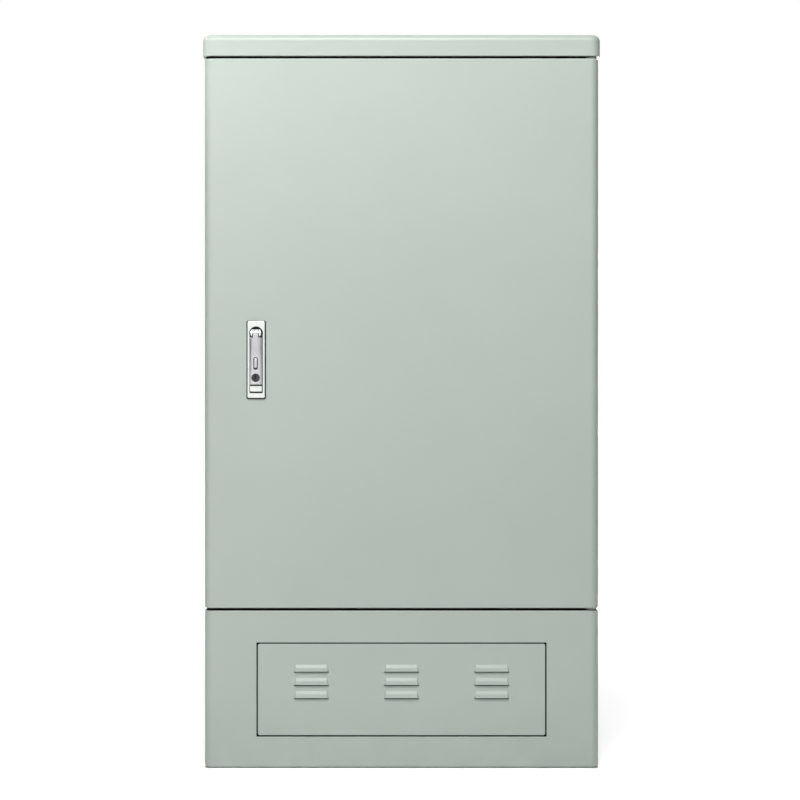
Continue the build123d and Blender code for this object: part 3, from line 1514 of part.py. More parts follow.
# Earth bolts: a row with nuts for bonding leads, and one into each insulator
def make_earth_bolts():
    turn = Rot(quarter_turn, 0, 0)
    length = earth_bar_thickness + small_nut_height + bolt_thread_past_nut
    screw = bolt(small_bolt_radius, length, small_bolt_head_across, small_bolt_head_height)
    ring = Rot(-quarter_turn, 0, 0) * nut(small_bolt_radius, small_bolt_head_across, small_nut_height)
    pieces = []
    for x in earth_bolt_places():
        pieces.append(Pos(x, earth_front_y, earth_bar_z) * turn * screw)
        pieces.append(Pos(x, earth_back_y, earth_bar_z) * ring)
    for x in (left_upright_x, right_upright_x):
        pieces.append(Pos(x, earth_front_y, earth_bar_z) * turn * screw)
    return group(pieces)


# Every piece by its name
pieces = {
    "plinth": make_plinth(),
    "access_panel": make_access_panel(),
    "access_panel_clips": make_access_panel_clips(),
    "floor_plate": make_floor_plate(),
    "cable_entry_plugs": make_cable_entry_plugs(),
    "left_side_panel": mirror(make_right_side_panel(), about=Plane.YZ),
    "right_side_panel": make_right_side_panel(),
    "rear_panel": make_rear_panel(),
    "front_frame": make_front_frame(),
    "roof_panel": make_roof_panel(),
    "top_cap": make_top_cap(),
    "base_bolts": make_base_bolts(),
    "rear_bolts": make_rear_bolts(),
    "cap_bolts": make_cap_bolts(),
    "door_gasket": make_door_gasket(),
    "lower_hinge_pintle": make_lower_hinge_pintle(),
    "upper_hinge_pintle": make_upper_hinge_pintle(),
    "hinge_bolts": make_hinge_bolts(),
    "hinge_bushes": make_hinge_bushes(),
    "door_shell": make_door_shell(),
    "document_pocket": make_document_pocket(),
    "lock_plate": make_lock_plate(),
    "lock_seal": make_lock_seal(),
    "lock_spindle": make_lock_spindle(),
    "handle_pin": make_handle_pin(),
    "lock_handle": make_lock_handle(),
    "lock_cylinder": make_lock_cylinder(),
    "release_button": make_release_button(),
    "lock_clamp_plate": make_lock_clamp_plate(),
    "lock_screws": make_lock_screws(),
    "lock_cam": make_lock_cam(),
    "cam_nut": make_cam_nut(),
    "cam_pins": make_cam_pins(),
    "upper_lock_rod": make_upper_lock_rod(),
    "lower_lock_rod": make_lower_lock_rod(),
    "rod_guides": make_rod_guides(),
    "left_upright": upright(left_upright_x),
    "right_upright": upright(right_upright_x),
    "rack_bolts": make_rack_bolts(),
    "fibre_adapters": make_fibre_adapters(),
    "dust_caps": make_dust_caps(),
    "splice_box": make_splice_box(),
    "splice_box_cover": make_splice_box_cover(),
    "equipment_screws": make_equipment_screws(),
    "spool_panel": make_spool_panel(),
    "storage_spools": make_storage_spools(),
    "spool_screws": make_spool_screws(),
    "fibre_rings": make_fibre_rings(),
    "cable_clamp_bar": make_cable_clamp_bar(),
    "cable_clamps": make_cable_clamps(),
    "earth_bar": make_earth_bar(),
    "earth_insulators": make_earth_insulators(),
    "earth_bolts": make_earth_bolts(),
}
for module_index in range(module_count):
    pieces[f"patch_module_{module_index + 1}"] = patch_module(module_index)

os.makedirs("parts", exist_ok=True)
for name, shape in pieces.items():
    export_step(shape, f"parts/{name}.step")
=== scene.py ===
import math
import bmesh
import bpy
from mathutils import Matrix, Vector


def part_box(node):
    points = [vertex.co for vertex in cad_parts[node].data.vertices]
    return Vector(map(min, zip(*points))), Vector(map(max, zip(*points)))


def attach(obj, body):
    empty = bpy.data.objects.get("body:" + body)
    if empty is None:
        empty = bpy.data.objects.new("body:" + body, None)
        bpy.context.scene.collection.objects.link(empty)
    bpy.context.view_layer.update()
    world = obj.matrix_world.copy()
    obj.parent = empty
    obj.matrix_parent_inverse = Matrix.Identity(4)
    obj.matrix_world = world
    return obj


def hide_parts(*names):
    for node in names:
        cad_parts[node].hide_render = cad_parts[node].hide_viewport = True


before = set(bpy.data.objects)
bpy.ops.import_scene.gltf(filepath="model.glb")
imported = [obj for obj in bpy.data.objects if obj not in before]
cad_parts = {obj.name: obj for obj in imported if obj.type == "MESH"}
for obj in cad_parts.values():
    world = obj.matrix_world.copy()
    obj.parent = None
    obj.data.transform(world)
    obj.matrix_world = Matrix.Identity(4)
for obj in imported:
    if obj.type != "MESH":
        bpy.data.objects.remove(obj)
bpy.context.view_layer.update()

# Studio: a pale floor that runs out to white paper, a key softbox high in front, a strip and three small
# boxes on the left, a box behind and a faint fill. The paper is white to the camera and in mirrors, where
# dark flags stand on both sides of it, and it gives little light.
floor_half_side = 30.0
floor_colour = (0.90, 0.90, 0.90, 1.0)
floor_lift_near = 0.62
floor_lift_far = 1.0
floor_fade_start = 0.9
floor_fade_end = 3.2
footprint_half_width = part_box("plinth")[1].x
footprint_half_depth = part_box("plinth")[1].y
fill_strength = 0.05
flag_start = 0.50
flag_full = 0.85
flag_strength = 0.15
softboxes = {
    "key_softbox": {
        "place": (-0.1, -1.85, 2.3), "target": (0.0, -0.1, 0.6), "sides": (0.7, 0.7), "power": 40.0,
    },
    "left_strip": {
        "place": (-1.1, -1.75, 1.35), "target": (0.0, -0.1, 0.7), "sides": (0.12, 1.4), "power": 1.2,
    },
    "left_box": {
        "place": (-0.5, -0.95, 1.16), "target": (-0.3, -0.155, 0.75), "sides": (0.3, 0.3), "power": 1.25,
    },
    "cap_box": {
        "place": (-0.55, -0.165, 1.2), "target": (-0.287, -0.16, 1.045), "sides": (0.12, 0.12), "power": 0.5,
    },
    "floor_box": {
        "place": (-0.62, -0.82, 0.3), "target": (-0.42, -0.5, 0.0), "sides": (0.3, 0.3), "power": 0.4,
    },
    "rear_softbox": {
        "place": (0.75, 2.3, 0.72), "target": (0.0, 0.0, 0.5), "sides": (0.9, 0.6), "power": 26.0,
    },
}
camera_place = (-0.0022, -2.954, 0.5318)
camera_view_angle = math.radians(23.31)


def feed(tree, socket, value):
    """Sets a socket to a value, or links the socket that gives it."""
    if isinstance(value, bpy.types.NodeSocket):
        tree.links.new(value, socket)
    else:
        socket.default_value = value


def add_node(tree, kind, settings=None, **inputs):
    """Adds a shader node; an underscore in an input's name stands for a space."""
    made = tree.nodes.new("ShaderNode" + kind)
    for name, value in (settings or {}).items():
        setattr(made, name, value)
    for name, value in inputs.items():
        feed(tree, made.inputs[name.replace("_", " ")], value)
    return made


def add_sum(tree, operation, first, second):
    """Works out one number from two."""
    made = add_node(tree, "Math", {"operation": operation})
    feed(tree, made.inputs[0], first)
    feed(tree, made.inputs[1], second)
    return made.outputs[0]


def seen_directly(tree):
    """1 for camera, mirror and see-through rays, 0 for the rays that light the cabinet."""
    path = add_node(tree, "LightPath").outputs
    looked_at = add_sum(tree, "MAXIMUM", path["Is Camera Ray"], path["Is Glossy Ray"])
    return add_sum(tree, "MAXIMUM", looked_at, path["Is Transmission Ray"])


scene = bpy.context.scene
scene.view_settings.view_transform = "Standard"
white = (1.0, 1.0, 1.0, 1.0)
scene.world = bpy.data.worlds.new("white_paper")
scene.world.use_nodes = True
paper_tree = scene.world.node_tree
paper_tree.nodes.clear()
sideways = add_node(
    paper_tree, "SeparateXYZ", Vector=add_node(paper_tree, "TexCoord").outputs["Generated"],
).outputs["X"]
mirrored_paper = add_node(
    paper_tree, "MapRange", Value=add_sum(paper_tree, "ABSOLUTE", sideways, 0.0),
    From_Min=flag_start, From_Max=flag_full, To_Min=1.0, To_Max=flag_strength,
).outputs[0]
looked_through = add_node(paper_tree, "LightPath").outputs
paper_strength = add_sum(
    paper_tree, "MAXIMUM", mirrored_paper,
    add_sum(paper_tree, "MAXIMUM", looked_through["Is Camera Ray"], looked_through["Is Transmission Ray"]),
)
fill_light = add_node(paper_tree, "Background", Color=white, Strength=fill_strength)
paper = add_node(paper_tree, "Background", Color=white, Strength=paper_strength)
either = add_node(paper_tree, "MixShader", Fac=seen_directly(paper_tree))
feed(paper_tree, either.inputs[1], fill_light.outputs[0])
feed(paper_tree, either.inputs[2], paper.outputs[0])
add_node(paper_tree, "OutputWorld", Surface=either.outputs[0])

bpy.ops.object.select_all(action="DESELECT")
bpy.ops.mesh.primitive_plane_add(size=2 * floor_half_side)
studio_floor = bpy.context.object
studio_floor.name = "studio_floor"
floor_paint = bpy.data.materials.new("studio_floor_paint")
floor_paint.use_nodes = True
floor_tree = floor_paint.node_tree
floor_tree.nodes.clear()
floor_spot = add_node(floor_tree, "TexCoord").outputs["Object"]
from_middle = add_node(floor_tree, "VectorMath", {"operation": "LENGTH"})
feed(floor_tree, from_middle.inputs[0], floor_spot)
lift = add_node(
    floor_tree, "MapRange", Value=from_middle.outputs["Value"],
    From_Min=floor_fade_start, From_Max=floor_fade_end, To_Min=floor_lift_near, To_Max=floor_lift_far,
)
floor_way = add_node(floor_tree, "SeparateXYZ", Vector=floor_spot).outputs
beside_cabinet = add_sum(
    floor_tree, "SUBTRACT", add_sum(floor_tree, "ABSOLUTE", floor_way["X"], 0.0), footprint_half_width,
)
before_cabinet = add_sum(
    floor_tree, "SUBTRACT", add_sum(floor_tree, "ABSOLUTE", floor_way["Y"], 0.0), footprint_half_depth,
)
clear_of_cabinet = add_sum(
    floor_tree, "GREATER_THAN", add_sum(floor_tree, "MAXIMUM", beside_cabinet, before_cabinet), 0.0,
)
open_lift = add_sum(floor_tree, "MULTIPLY", lift.outputs[0], clear_of_cabinet)
glow = add_node(
    floor_tree, "Emission", Color=white,
    Strength=add_sum(floor_tree, "MULTIPLY", open_lift, seen_directly(floor_tree)),
)
matt = add_node(floor_tree, "BsdfDiffuse", Color=floor_colour)
lit_floor = add_node(floor_tree, "AddShader")
feed(floor_tree, lit_floor.inputs[0], matt.outputs[0])
feed(floor_tree, lit_floor.inputs[1], glow.outputs[0])
add_node(floor_tree, "OutputMaterial", Surface=lit_floor.outputs[0])
studio_floor.data.materials.append(floor_paint)

for name, box in softboxes.items():
    bpy.ops.object.light_add(type="AREA", location=box["place"])
    softbox = bpy.context.object
    softbox.name = name
    softbox.data.shape = "RECTANGLE"
    softbox.data.size, softbox.data.size_y = box["sides"]
    softbox.data.energy = box["power"]
    reach = [to - at for to, at in zip(box["target"], box["place"])]
    tilt = math.atan2(reach[2], math.hypot(reach[0], reach[1]))
    softbox.rotation_euler = (math.pi / 2 + tilt, 0.0, math.atan2(-reach[0], reach[1]))

bpy.ops.object.camera_add(location=camera_place, rotation=(math.pi / 2, 0.0, 0.0))
scene.camera = bpy.context.object
scene.camera.name = "front_camera"
scene.camera.data.angle = camera_view_angle

# Plinth: a box moulded from glass-filled polyester in steel tools, sprayed pale grey green. It stands
# on the ground, bolted down through its foot flange, and its paint is darker and patchy low down.
plinth_low, plinth_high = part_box("plinth")
panel_low, panel_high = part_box("access_panel")
shell_light = (0.575, 0.650, 0.594, 1.0)
shell_dark = (0.553, 0.625, 0.571, 1.0)
shell_patches = 4.0
shell_dimples = 380.0
shell_dimple_depth = 0.00005
shell_roughness = (0.375, 0.425)
cloud_low = 0.3
cloud_high = 0.7
tint_detail = 4.0
gloss_detail = 3.0
dimple_detail = 2.0
# Darker, patchy tint of the paint towards the ground, up to this height
low_darkening = (0.400, 0.440, 0.405, 1.0)
darkening_reach = 0.105
darkening_patches = 26.0
darkening_detail = 5.0
darkening_least = 0.15
darkening_most = 0.40
# Black painted as shade in the seams round the access panel and on the ledge under the door gap
shade_black = (0.012, 0.013, 0.012, 1.0)
panel_gap = 0.002
lip_shade_width = 0.004
lip_shade_start = 0.0008
lip_shade_full = 0.0014
lip_shade_end = 0.02
ledge_shade_height = 0.0005
ledge_shade_start = 0.0003
ledge_shade_full = 0.0007
ledge_shade_end = 0.04


def new_group(name, inputs, outputs):
    """An empty shader node group, the sockets that feed it and the node that it ends in."""
    tree = bpy.data.node_groups.new(name, "ShaderNodeTree")
    for socket, kind in inputs.items():
        tree.interface.new_socket(socket, in_out="INPUT", socket_type="NodeSocket" + kind)
    for socket, kind in outputs.items():
        tree.interface.new_socket(socket, in_out="OUTPUT", socket_type="NodeSocket" + kind)
    return tree, tree.nodes.new("NodeGroupInput").outputs, tree.nodes.new("NodeGroupOutput").inputs


def use_group(tree, group, **inputs):
    """Places a node group in a material with its own values."""
    made = tree.nodes.new("ShaderNodeGroup")
    made.node_tree = group
    for name, value in inputs.items():
        feed(tree, made.inputs[name.replace("_", " ")], value)
    return made.outputs


def mix_colours(tree, share, first, second):
    """A colour between two others, through the sockets that a Mix node keeps for colours."""
    share_socket, first_socket, second_socket, mixed_socket = 0, 6, 7, 2
    made = add_node(tree, "Mix", {"data_type": "RGBA"})
    feed(tree, made.inputs[share_socket], share)
    feed(tree, made.inputs[first_socket], first)
    feed(tree, made.inputs[second_socket], second)
    return made.outputs[mixed_socket]


def mix_numbers(tree, share, first, second):
    """A number between two others."""
    return add_node(tree, "MapRange", Value=share, To_Min=first, To_Max=second).outputs[0]


def clouds(tree, place, size, detail):
    """Soft patches between 0 and 1."""
    noise = add_node(tree, "TexNoise", Vector=place, Scale=size, Detail=detail)
    return add_node(
        tree, "MapRange", Value=noise.outputs["Fac"], From_Min=cloud_low, From_Max=cloud_high,
    ).outputs[0]


# Clouded colour, as where paint or plating lies a little thicker
tint_group, tint_in, tint_out = new_group(
    "clouded_tint",
    {"Place": "Vector", "Light": "Color", "Dark": "Color", "Patches": "Float"},
    {"Tint": "Color"},
)
feed(tint_group, tint_out["Tint"], mix_colours(
    tint_group, clouds(tint_group, tint_in["Place"], tint_in["Patches"], tint_detail),
    tint_in["Dark"], tint_in["Light"],
))

# The fine dimples of a sprayed or moulded skin, with patches that are a little duller
skin_group, skin_in, skin_out = new_group(
    "dimpled_skin",
    {"Place": "Vector", "Dimples": "Float", "Patches": "Float", "Gloss": "Float", "Dull": "Float"},
    {"Height": "Float", "Roughness": "Float"},
)
dimple = add_node(
    skin_group, "TexNoise", Vector=skin_in["Place"], Scale=skin_in["Dimples"], Detail=dimple_detail,
)
feed(skin_group, skin_out["Height"], dimple.outputs["Fac"])
feed(skin_group, skin_out["Roughness"], mix_numbers(
    skin_group, clouds(skin_group, skin_in["Place"], skin_in["Patches"], gloss_detail),
    skin_in["Gloss"], skin_in["Dull"],
))

# Paint darker and patchy towards the ground, fading out with height
low_dark_group, low_dark_in, low_dark_out = new_group(
    "low_darkening",
    {"Place": "Vector", "Clean": "Color", "Dust": "Color", "Reach": "Float"},
    {"Tint": "Color"},
)
height = add_node(low_dark_group, "SeparateXYZ", Vector=low_dark_in["Place"]).outputs["Z"]
low_down = add_sum(low_dark_group, "SUBTRACT", 1.0, add_sum(low_dark_group, "DIVIDE", height, low_dark_in["Reach"]))
low_down = add_sum(low_dark_group, "MAXIMUM", low_down, 0.0)
uneven = mix_numbers(
    low_dark_group, clouds(low_dark_group, low_dark_in["Place"], darkening_patches, darkening_detail), darkening_least, darkening_most,
)
feed(low_dark_group, low_dark_out["Tint"], mix_colours(
    low_dark_group, add_sum(low_dark_group, "MULTIPLY", low_down, uneven), low_dark_in["Clean"], low_dark_in["Dust"],
))

# Painted black shade held in a seam: a band round a rectangle, from a little behind the face to some depth
seam_shade_group, seam_shade_in, seam_shade_out = new_group(
    "seam_painted_shade",
    {
        "Place": "Vector", "Clean": "Color", "Grime": "Color",
        "Half Width": "Float", "Half Height": "Float", "Middle": "Float", "Band": "Float",
        "Start": "Float", "Full": "Float", "End": "Float",
    },
    {"Tint": "Color", "Mask": "Float"},
)
spot = add_node(seam_shade_group, "SeparateXYZ", Vector=seam_shade_in["Place"]).outputs
from_middle_x = add_sum(seam_shade_group, "ABSOLUTE", spot["X"], 0.0)
from_middle_z = add_sum(seam_shade_group, "SUBTRACT", spot["Z"], seam_shade_in["Middle"])
from_middle_z = add_sum(seam_shade_group, "ABSOLUTE", from_middle_z, 0.0)
past_outline = add_sum(
    seam_shade_group, "MAXIMUM",
    add_sum(seam_shade_group, "SUBTRACT", from_middle_x, seam_shade_in["Half Width"]),
    add_sum(seam_shade_group, "SUBTRACT", from_middle_z, seam_shade_in["Half Height"]),
)
in_band = add_sum(
    seam_shade_group, "MULTIPLY",
    add_sum(seam_shade_group, "GREATER_THAN", past_outline, 0.0),
    add_sum(seam_shade_group, "LESS_THAN", past_outline, seam_shade_in["Band"]),
)
in_depth = add_sum(
    seam_shade_group, "MULTIPLY",
    add_node(
        seam_shade_group, "MapRange", Value=spot["Y"], From_Min=seam_shade_in["Start"], From_Max=seam_shade_in["Full"],
    ).outputs[0],
    add_sum(seam_shade_group, "LESS_THAN", spot["Y"], seam_shade_in["End"]),
)
in_shade = add_sum(seam_shade_group, "MULTIPLY", in_band, in_depth)
feed(seam_shade_group, seam_shade_out["Mask"], in_shade)
feed(seam_shade_group, seam_shade_out["Tint"], mix_colours(seam_shade_group, in_shade, seam_shade_in["Clean"], seam_shade_in["Grime"]))


def new_finish(name):
    """A material, its node tree, its shader's sockets and the place on the piece."""
    finish = bpy.data.materials.new(name)
    finish.use_nodes = True
    tree = finish.node_tree
    return finish, tree, tree.nodes["Principled BSDF"].inputs, add_node(tree, "TexCoord").outputs["Object"]


def skinned(tree, shader, place, dimples, depth, patches, roughness):
    """Gives a material its dimples and its patches of gloss."""
    gloss, dull = roughness
    skin = use_group(
        tree, skin_group, Place=place, Dimples=dimples, Patches=patches, Gloss=gloss, Dull=dull,
    )
    relief = add_node(tree, "Bump", Distance=depth, Height=skin["Height"])
    feed(tree, shader["Roughness"], skin["Roughness"])
    feed(tree, shader["Normal"], relief.outputs["Normal"])


def dress(finish, *names):
    """Gives CAD nodes a finish."""
    for name in names:
        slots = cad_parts[name].material_slots
        slots[0].material = finish


def paint_darker_low(name, roughness):
    """The shell's paint, darker and patchy low down: its material, tree, shader sockets, place and tint."""
    finish, tree, shader, place = new_finish(name)
    skinned(tree, shader, place, shell_dimples, shell_dimple_depth, shell_patches, roughness)
    clean = use_group(
        tree, tint_group, Place=place, Light=shell_light, Dark=shell_dark, Patches=shell_patches,
    )["Tint"]
    tint = use_group(tree, low_dark_group, Place=place, Clean=clean, Dust=low_darkening, Reach=darkening_reach)["Tint"]
    return finish, tree, shader, place, tint


panel_half_width = (panel_high.x - panel_low.x) / 2
panel_half_height = (panel_high.z - panel_low.z) / 2
panel_middle_z = (panel_high.z + panel_low.z) / 2
plinth_front_y = plinth_low.y
plinth_paint, tree, shader, place, tint = paint_darker_low("plinth_paint", shell_roughness)
# Painted shade: the window's lip round the access panel and the ledge under the door gap are painted black a
# little behind the face, and set metallic so the black reflects almost nothing.
lip = use_group(
    tree, seam_shade_group, Place=place, Clean=tint, Grime=shade_black,
    Half_Width=panel_half_width + panel_gap - lip_shade_width,
    Half_Height=panel_half_height + panel_gap - lip_shade_width,
    Middle=panel_middle_z, Band=lip_shade_width + ledge_shade_height,
    Start=plinth_front_y + lip_shade_start, Full=plinth_front_y + lip_shade_full,
    End=plinth_front_y + lip_shade_end,
)
ledge = use_group(
    tree, seam_shade_group, Place=place, Clean=lip["Tint"], Grime=shade_black,
    Half_Width=plinth_high.x, Half_Height=plinth_high.z - ledge_shade_height,
    Middle=0.0, Band=plinth_high.z,
    Start=plinth_front_y + ledge_shade_start, Full=plinth_front_y + ledge_shade_full,
    End=plinth_front_y + ledge_shade_end,
)
feed(tree, shader["Base Color"], ledge["Tint"])
feed(tree, shader["Metallic"], add_sum(tree, "MAXIMUM", lip["Mask"], ledge["Mask"]))
dress(plinth_paint, "plinth")

# Access panel: a loose moulding with rows of louvres, painted with the plinth and held in its window by
# four bent steel clips. Hands rub it a little duller, and its edges where it meets the window are painted
# black as shade.
panel_roughness = (0.40, 0.46)
panel_edge_shade = 0.0006
panel_paint, tree, shader, place, tint = paint_darker_low("access_panel_paint", panel_roughness)
# Painted shade: the panel's edges are painted black a little behind its face, and set metallic so the black
# reflects almost nothing.
panel_edge = use_group(
    tree, seam_shade_group, Place=place, Clean=tint, Grime=shade_black,
    Half_Width=panel_half_width - panel_edge_shade, Half_Height=panel_half_height - panel_edge_shade,
    Middle=panel_middle_z, Band=2 * panel_edge_shade,
    Start=plinth_front_y + lip_shade_start, Full=plinth_front_y + lip_shade_full,
    End=plinth_front_y + lip_shade_end,
)
feed(tree, shader["Base Color"], panel_edge["Tint"])
feed(tree, shader["Metallic"], panel_edge["Mask"])
dress(panel_paint, "access_panel")

# Galvanised sheet: the clips, floor plate, lock steel, uprights and brackets are cut and bent from
# zinc-coated steel sheet. The zinc froze in flat crystals that each shine differently.
zinc_light = (0.62, 0.64, 0.65, 1.0)
zinc_dark = (0.43, 0.45, 0.47, 1.0)
zinc_crystals = 120.0
zinc_roughness = (0.30, 0.48)

spangle_group, spangle_in, spangle_out = new_group(
    "zinc_spangle",
    {
        "Place": "Vector", "Crystals": "Float", "Light": "Color", "Dark": "Color",
        "Gloss": "Float", "Dull": "Float",
    },
    {"Tint": "Color", "Roughness": "Float"},
)
crystal = add_node(spangle_group, "TexVoronoi", Vector=spangle_in["Place"], Scale=spangle_in["Crystals"])
facing = add_node(spangle_group, "SeparateColor", Color=crystal.outputs["Color"]).outputs
feed(spangle_group, spangle_out["Tint"], mix_colours(
    spangle_group, facing["Red"], spangle_in["Dark"], spangle_in["Light"],
))
feed(spangle_group, spangle_out["Roughness"], mix_numbers(
    spangle_group, facing["Green"], spangle_in["Gloss"], spangle_in["Dull"],
))


def galvanised(name, crystals):
    """Zinc-coated sheet with crystals of a given fineness."""
    finish, tree, shader, place = new_finish(name)
    gloss, dull = zinc_roughness
    spangle = use_group(
        tree, spangle_group, Place=place, Crystals=crystals, Light=zinc_light, Dark=zinc_dark,
        Gloss=gloss, Dull=dull,
    )
    feed(tree, shader["Base Color"], spangle["Tint"])
    feed(tree, shader["Roughness"], spangle["Roughness"])
    shader["Metallic"].default_value = 1.0
    return finish


bracket_zinc = galvanised("bracket_zinc", zinc_crystals)
dress(bracket_zinc, "access_panel_clips", "floor_plate")

# Cable entries: soft rubber plugs pushed into the floor plate's holes, still closed, to be cut open for
# a cable. Rubber is dull, with a faint grey bloom.
rubber_black = (0.030, 0.031, 0.032, 1.0)
rubber_bloom = (0.055, 0.056, 0.056, 1.0)


def coated(name, light, dark, patches, dimples, depth, roughness):
    """A coloured skin: clouded tint, fine dimples and patches of gloss."""
    finish, tree, shader, place = new_finish(name)
    skinned(tree, shader, place, dimples, depth, patches, roughness)
    feed(tree, shader["Base Color"], use_group(
        tree, tint_group, Place=place, Light=light, Dark=dark, Patches=patches,
    )["Tint"])
    return finish


plug_rubber = coated(
    "plug_rubber", light=rubber_bloom, dark=rubber_black,
    patches=55.0, dimples=1500.0, depth=0.00002, roughness=(0.62, 0.80),
)
dress(plug_rubber, "cable_entry_plugs")

# Shell: side panels, rear panel, front frame and roof are further mouldings, bolted or bonded to each other
# on the plinth. They are sprayed together with the door and the cap, in the same paint as the plinth.
shell_paint = coated(
    "shell_paint", light=shell_light, dark=shell_dark,
    patches=shell_patches, dimples=shell_dimples, depth=shell_dimple_depth, roughness=shell_roughness,
)
dress(shell_paint, "left_side_panel", "right_side_panel", "rear_panel", "front_frame", "roof_panel")

# Bolts and screws: cold-headed steel, plated with bright zinc and tightened from inside the shell. Only the
# low round heads of the rear panel's bolts show.
bolt_light = (0.66, 0.67, 0.66, 1.0)
bolt_dark = (0.52, 0.53, 0.53, 1.0)


def plated(name, light, dark, patches, dimples, depth, roughness):
    """Bare or plated metal: clouded tint, fine grain and smears of gloss."""
    finish = coated(name, light, dark, patches, dimples, depth, roughness)
    finish.node_tree.nodes["Principled BSDF"].inputs["Metallic"].default_value = 1.0
    return finish


bolt_zinc = plated(
    "bolt_zinc", light=bolt_light, dark=bolt_dark,
    patches=300.0, dimples=2500.0, depth=0.00001, roughness=(0.24, 0.38),
)
dress(bolt_zinc, "base_bolts", "rear_bolts", "cap_bolts", "hinge_bolts")

# Top cap: a shallow moulded lid that overhangs the walls by 2.5 mm and throws the rain clear. It is bolted
# from below, through the roof panel.
dress(shell_paint, "top_cap")

# Hinge pintles: two steel plates, each with a pin welded on. The upper one is bolted on the roof panel and
# the lower one bonded under the plinth's top. Phosphate and oil leave them nearly black, which also serves as
# painted shade where they show in the door gaps.
pintle_phosphate_and_shade = plated(
    "pintle_phosphate_and_shade", light=(0.050, 0.051, 0.053, 1.0), dark=(0.030, 0.031, 0.032, 1.0),
    patches=120.0, dimples=1500.0, depth=0.00002, roughness=(0.45, 0.60),
)
dress(pintle_phosphate_and_shade, "lower_hinge_pintle", "upper_hinge_pintle")

# Hinge bushes: flanged sleeves turned from nylon, which is off-white and slippery. They are pressed into
# the door's top and bottom walls and run on the pintles.
bush_nylon = coated(
    "bush_nylon", light=(0.80, 0.79, 0.74, 1.0), dark=(0.74, 0.73, 0.68, 1.0),
    patches=90.0, dimples=900.0, depth=0.00001, roughness=(0.38, 0.48),
)
dress(bush_nylon, "hinge_bushes")

# Door seal: a hollow rubber bulb on a flat foot, glued round the front frame in one mitred loop. The closed
# door presses on the bulb. It takes the place of the plain CAD ring.
seal_low, seal_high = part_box("door_gasket")
seal_foot_width = 0.011
seal_foot_height = 0.0022
seal_bulb_radius = 0.0034
seal_bulb_facets = 4
seal_corner_radius = 0.009
seal_corner_segments = 6


def start_edit(piece):
    """Makes a piece the only selected one and opens it for editing."""
    bpy.ops.object.select_all(action="DESELECT")
    piece.select_set(True)
    bpy.context.view_layer.objects.active = piece
    bpy.ops.object.mode_set(mode="EDIT")


def pick(piece, kind, wanted):
    """Selects the vertices, edges or faces of a piece in edit mode whose points pass a test."""
    bpy.ops.mesh.select_mode(type=kind)
    bpy.ops.mesh.select_all(action="DESELECT")
    mesh = bmesh.from_edit_mesh(piece.data)
    for part in {"VERT": mesh.verts, "EDGE": mesh.edges, "FACE": mesh.faces}[kind]:
        points = [part.co] if kind == "VERT" else [corner.co for corner in part.verts]
        part.select_set(all(wanted(point) for point in points))
    mesh.select_flush_mode()
    bmesh.update_edit_mesh(piece.data)


def sheet_in_front(name, low, high, y):
    """An upright rectangle at depth y, between two corners."""
    bpy.ops.object.select_all(action="DESELECT")
    bpy.ops.mesh.primitive_plane_add(
        size=1.0, location=((low.x + high.x) / 2, y, (low.z + high.z) / 2), rotation=(math.pi / 2, 0.0, 0.0),
    )
    made = bpy.context.object
    made.name = name
    made.scale = (high.x - low.x, high.z - low.z, 1.0)
    bpy.ops.object.transform_apply(location=True, rotation=True, scale=True)
    return made


seal_foot = sheet_in_front("door_seal", seal_low, seal_high, seal_high.y)
start_edit(seal_foot)
bpy.ops.mesh.inset(thickness=seal_foot_width)
bpy.ops.mesh.delete(type="FACE")
bpy.ops.mesh.select_all(action="SELECT")
bpy.ops.mesh.extrude_region_move(TRANSFORM_OT_translate={"value": (0.0, -seal_foot_height, 0.0)})
bpy.ops.mesh.select_all(action="SELECT")
bpy.ops.mesh.normals_make_consistent(inside=False)
bpy.ops.object.mode_set(mode="OBJECT")
seal_bulb = sheet_in_front("seal_bulb", seal_low, seal_high, seal_low.y + seal_bulb_radius)
start_edit(seal_bulb)
bpy.ops.mesh.inset(thickness=seal_foot_width / 2)
pick(seal_bulb, "VERT", lambda point: min(point.x - seal_low.x, seal_high.x - point.x) < seal_foot_width / 4)
bpy.ops.mesh.delete(type="VERT")
bpy.ops.mesh.select_all(action="SELECT")
bpy.ops.mesh.bevel(offset=seal_corner_radius, segments=seal_corner_segments, affect="VERTICES")
bpy.ops.mesh.select_all(action="SELECT")
bpy.ops.mesh.delete(type="ONLY_FACE")
bpy.ops.object.mode_set(mode="OBJECT")
bpy.ops.object.convert(target="CURVE")
seal_bulb.data.bevel_depth = seal_bulb_radius
seal_bulb.data.bevel_resolution = seal_bulb_facets
bpy.ops.object.convert(target="MESH")
bpy.ops.object.shade_smooth()
seal_foot.select_set(True)
bpy.context.view_layer.objects.active = seal_foot
bpy.ops.object.join()
door_seal = seal_foot
seal_rubber = coated(
    "seal_rubber", light=rubber_bloom, dark=rubber_black,
    patches=40.0, dimples=1100.0, depth=0.00002, roughness=(0.58, 0.74),
)
door_seal.data.materials.append(seal_rubber)
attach(door_seal, "cabinet")
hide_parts("door_gasket")

# Door: one moulded pan with rounded corners, stiffened by ribs inside and hung on two hidden pivots at its
# right side. A rib round its back presses on the seal.
dress(shell_paint, "door_shell")

# Document pocket: a thin tray moulded from smoked plastic, open at the top, for the cable lists. It is
# glued to the inside of the door.
pocket_plastic = coated(
    "pocket_plastic", light=(0.40, 0.41, 0.42, 1.0), dark=(0.36, 0.37, 0.38, 1.0),
    patches=18.0, dimples=700.0, depth=0.00001, roughness=(0.22, 0.34),
)
dress(pocket_plastic, "document_pocket")

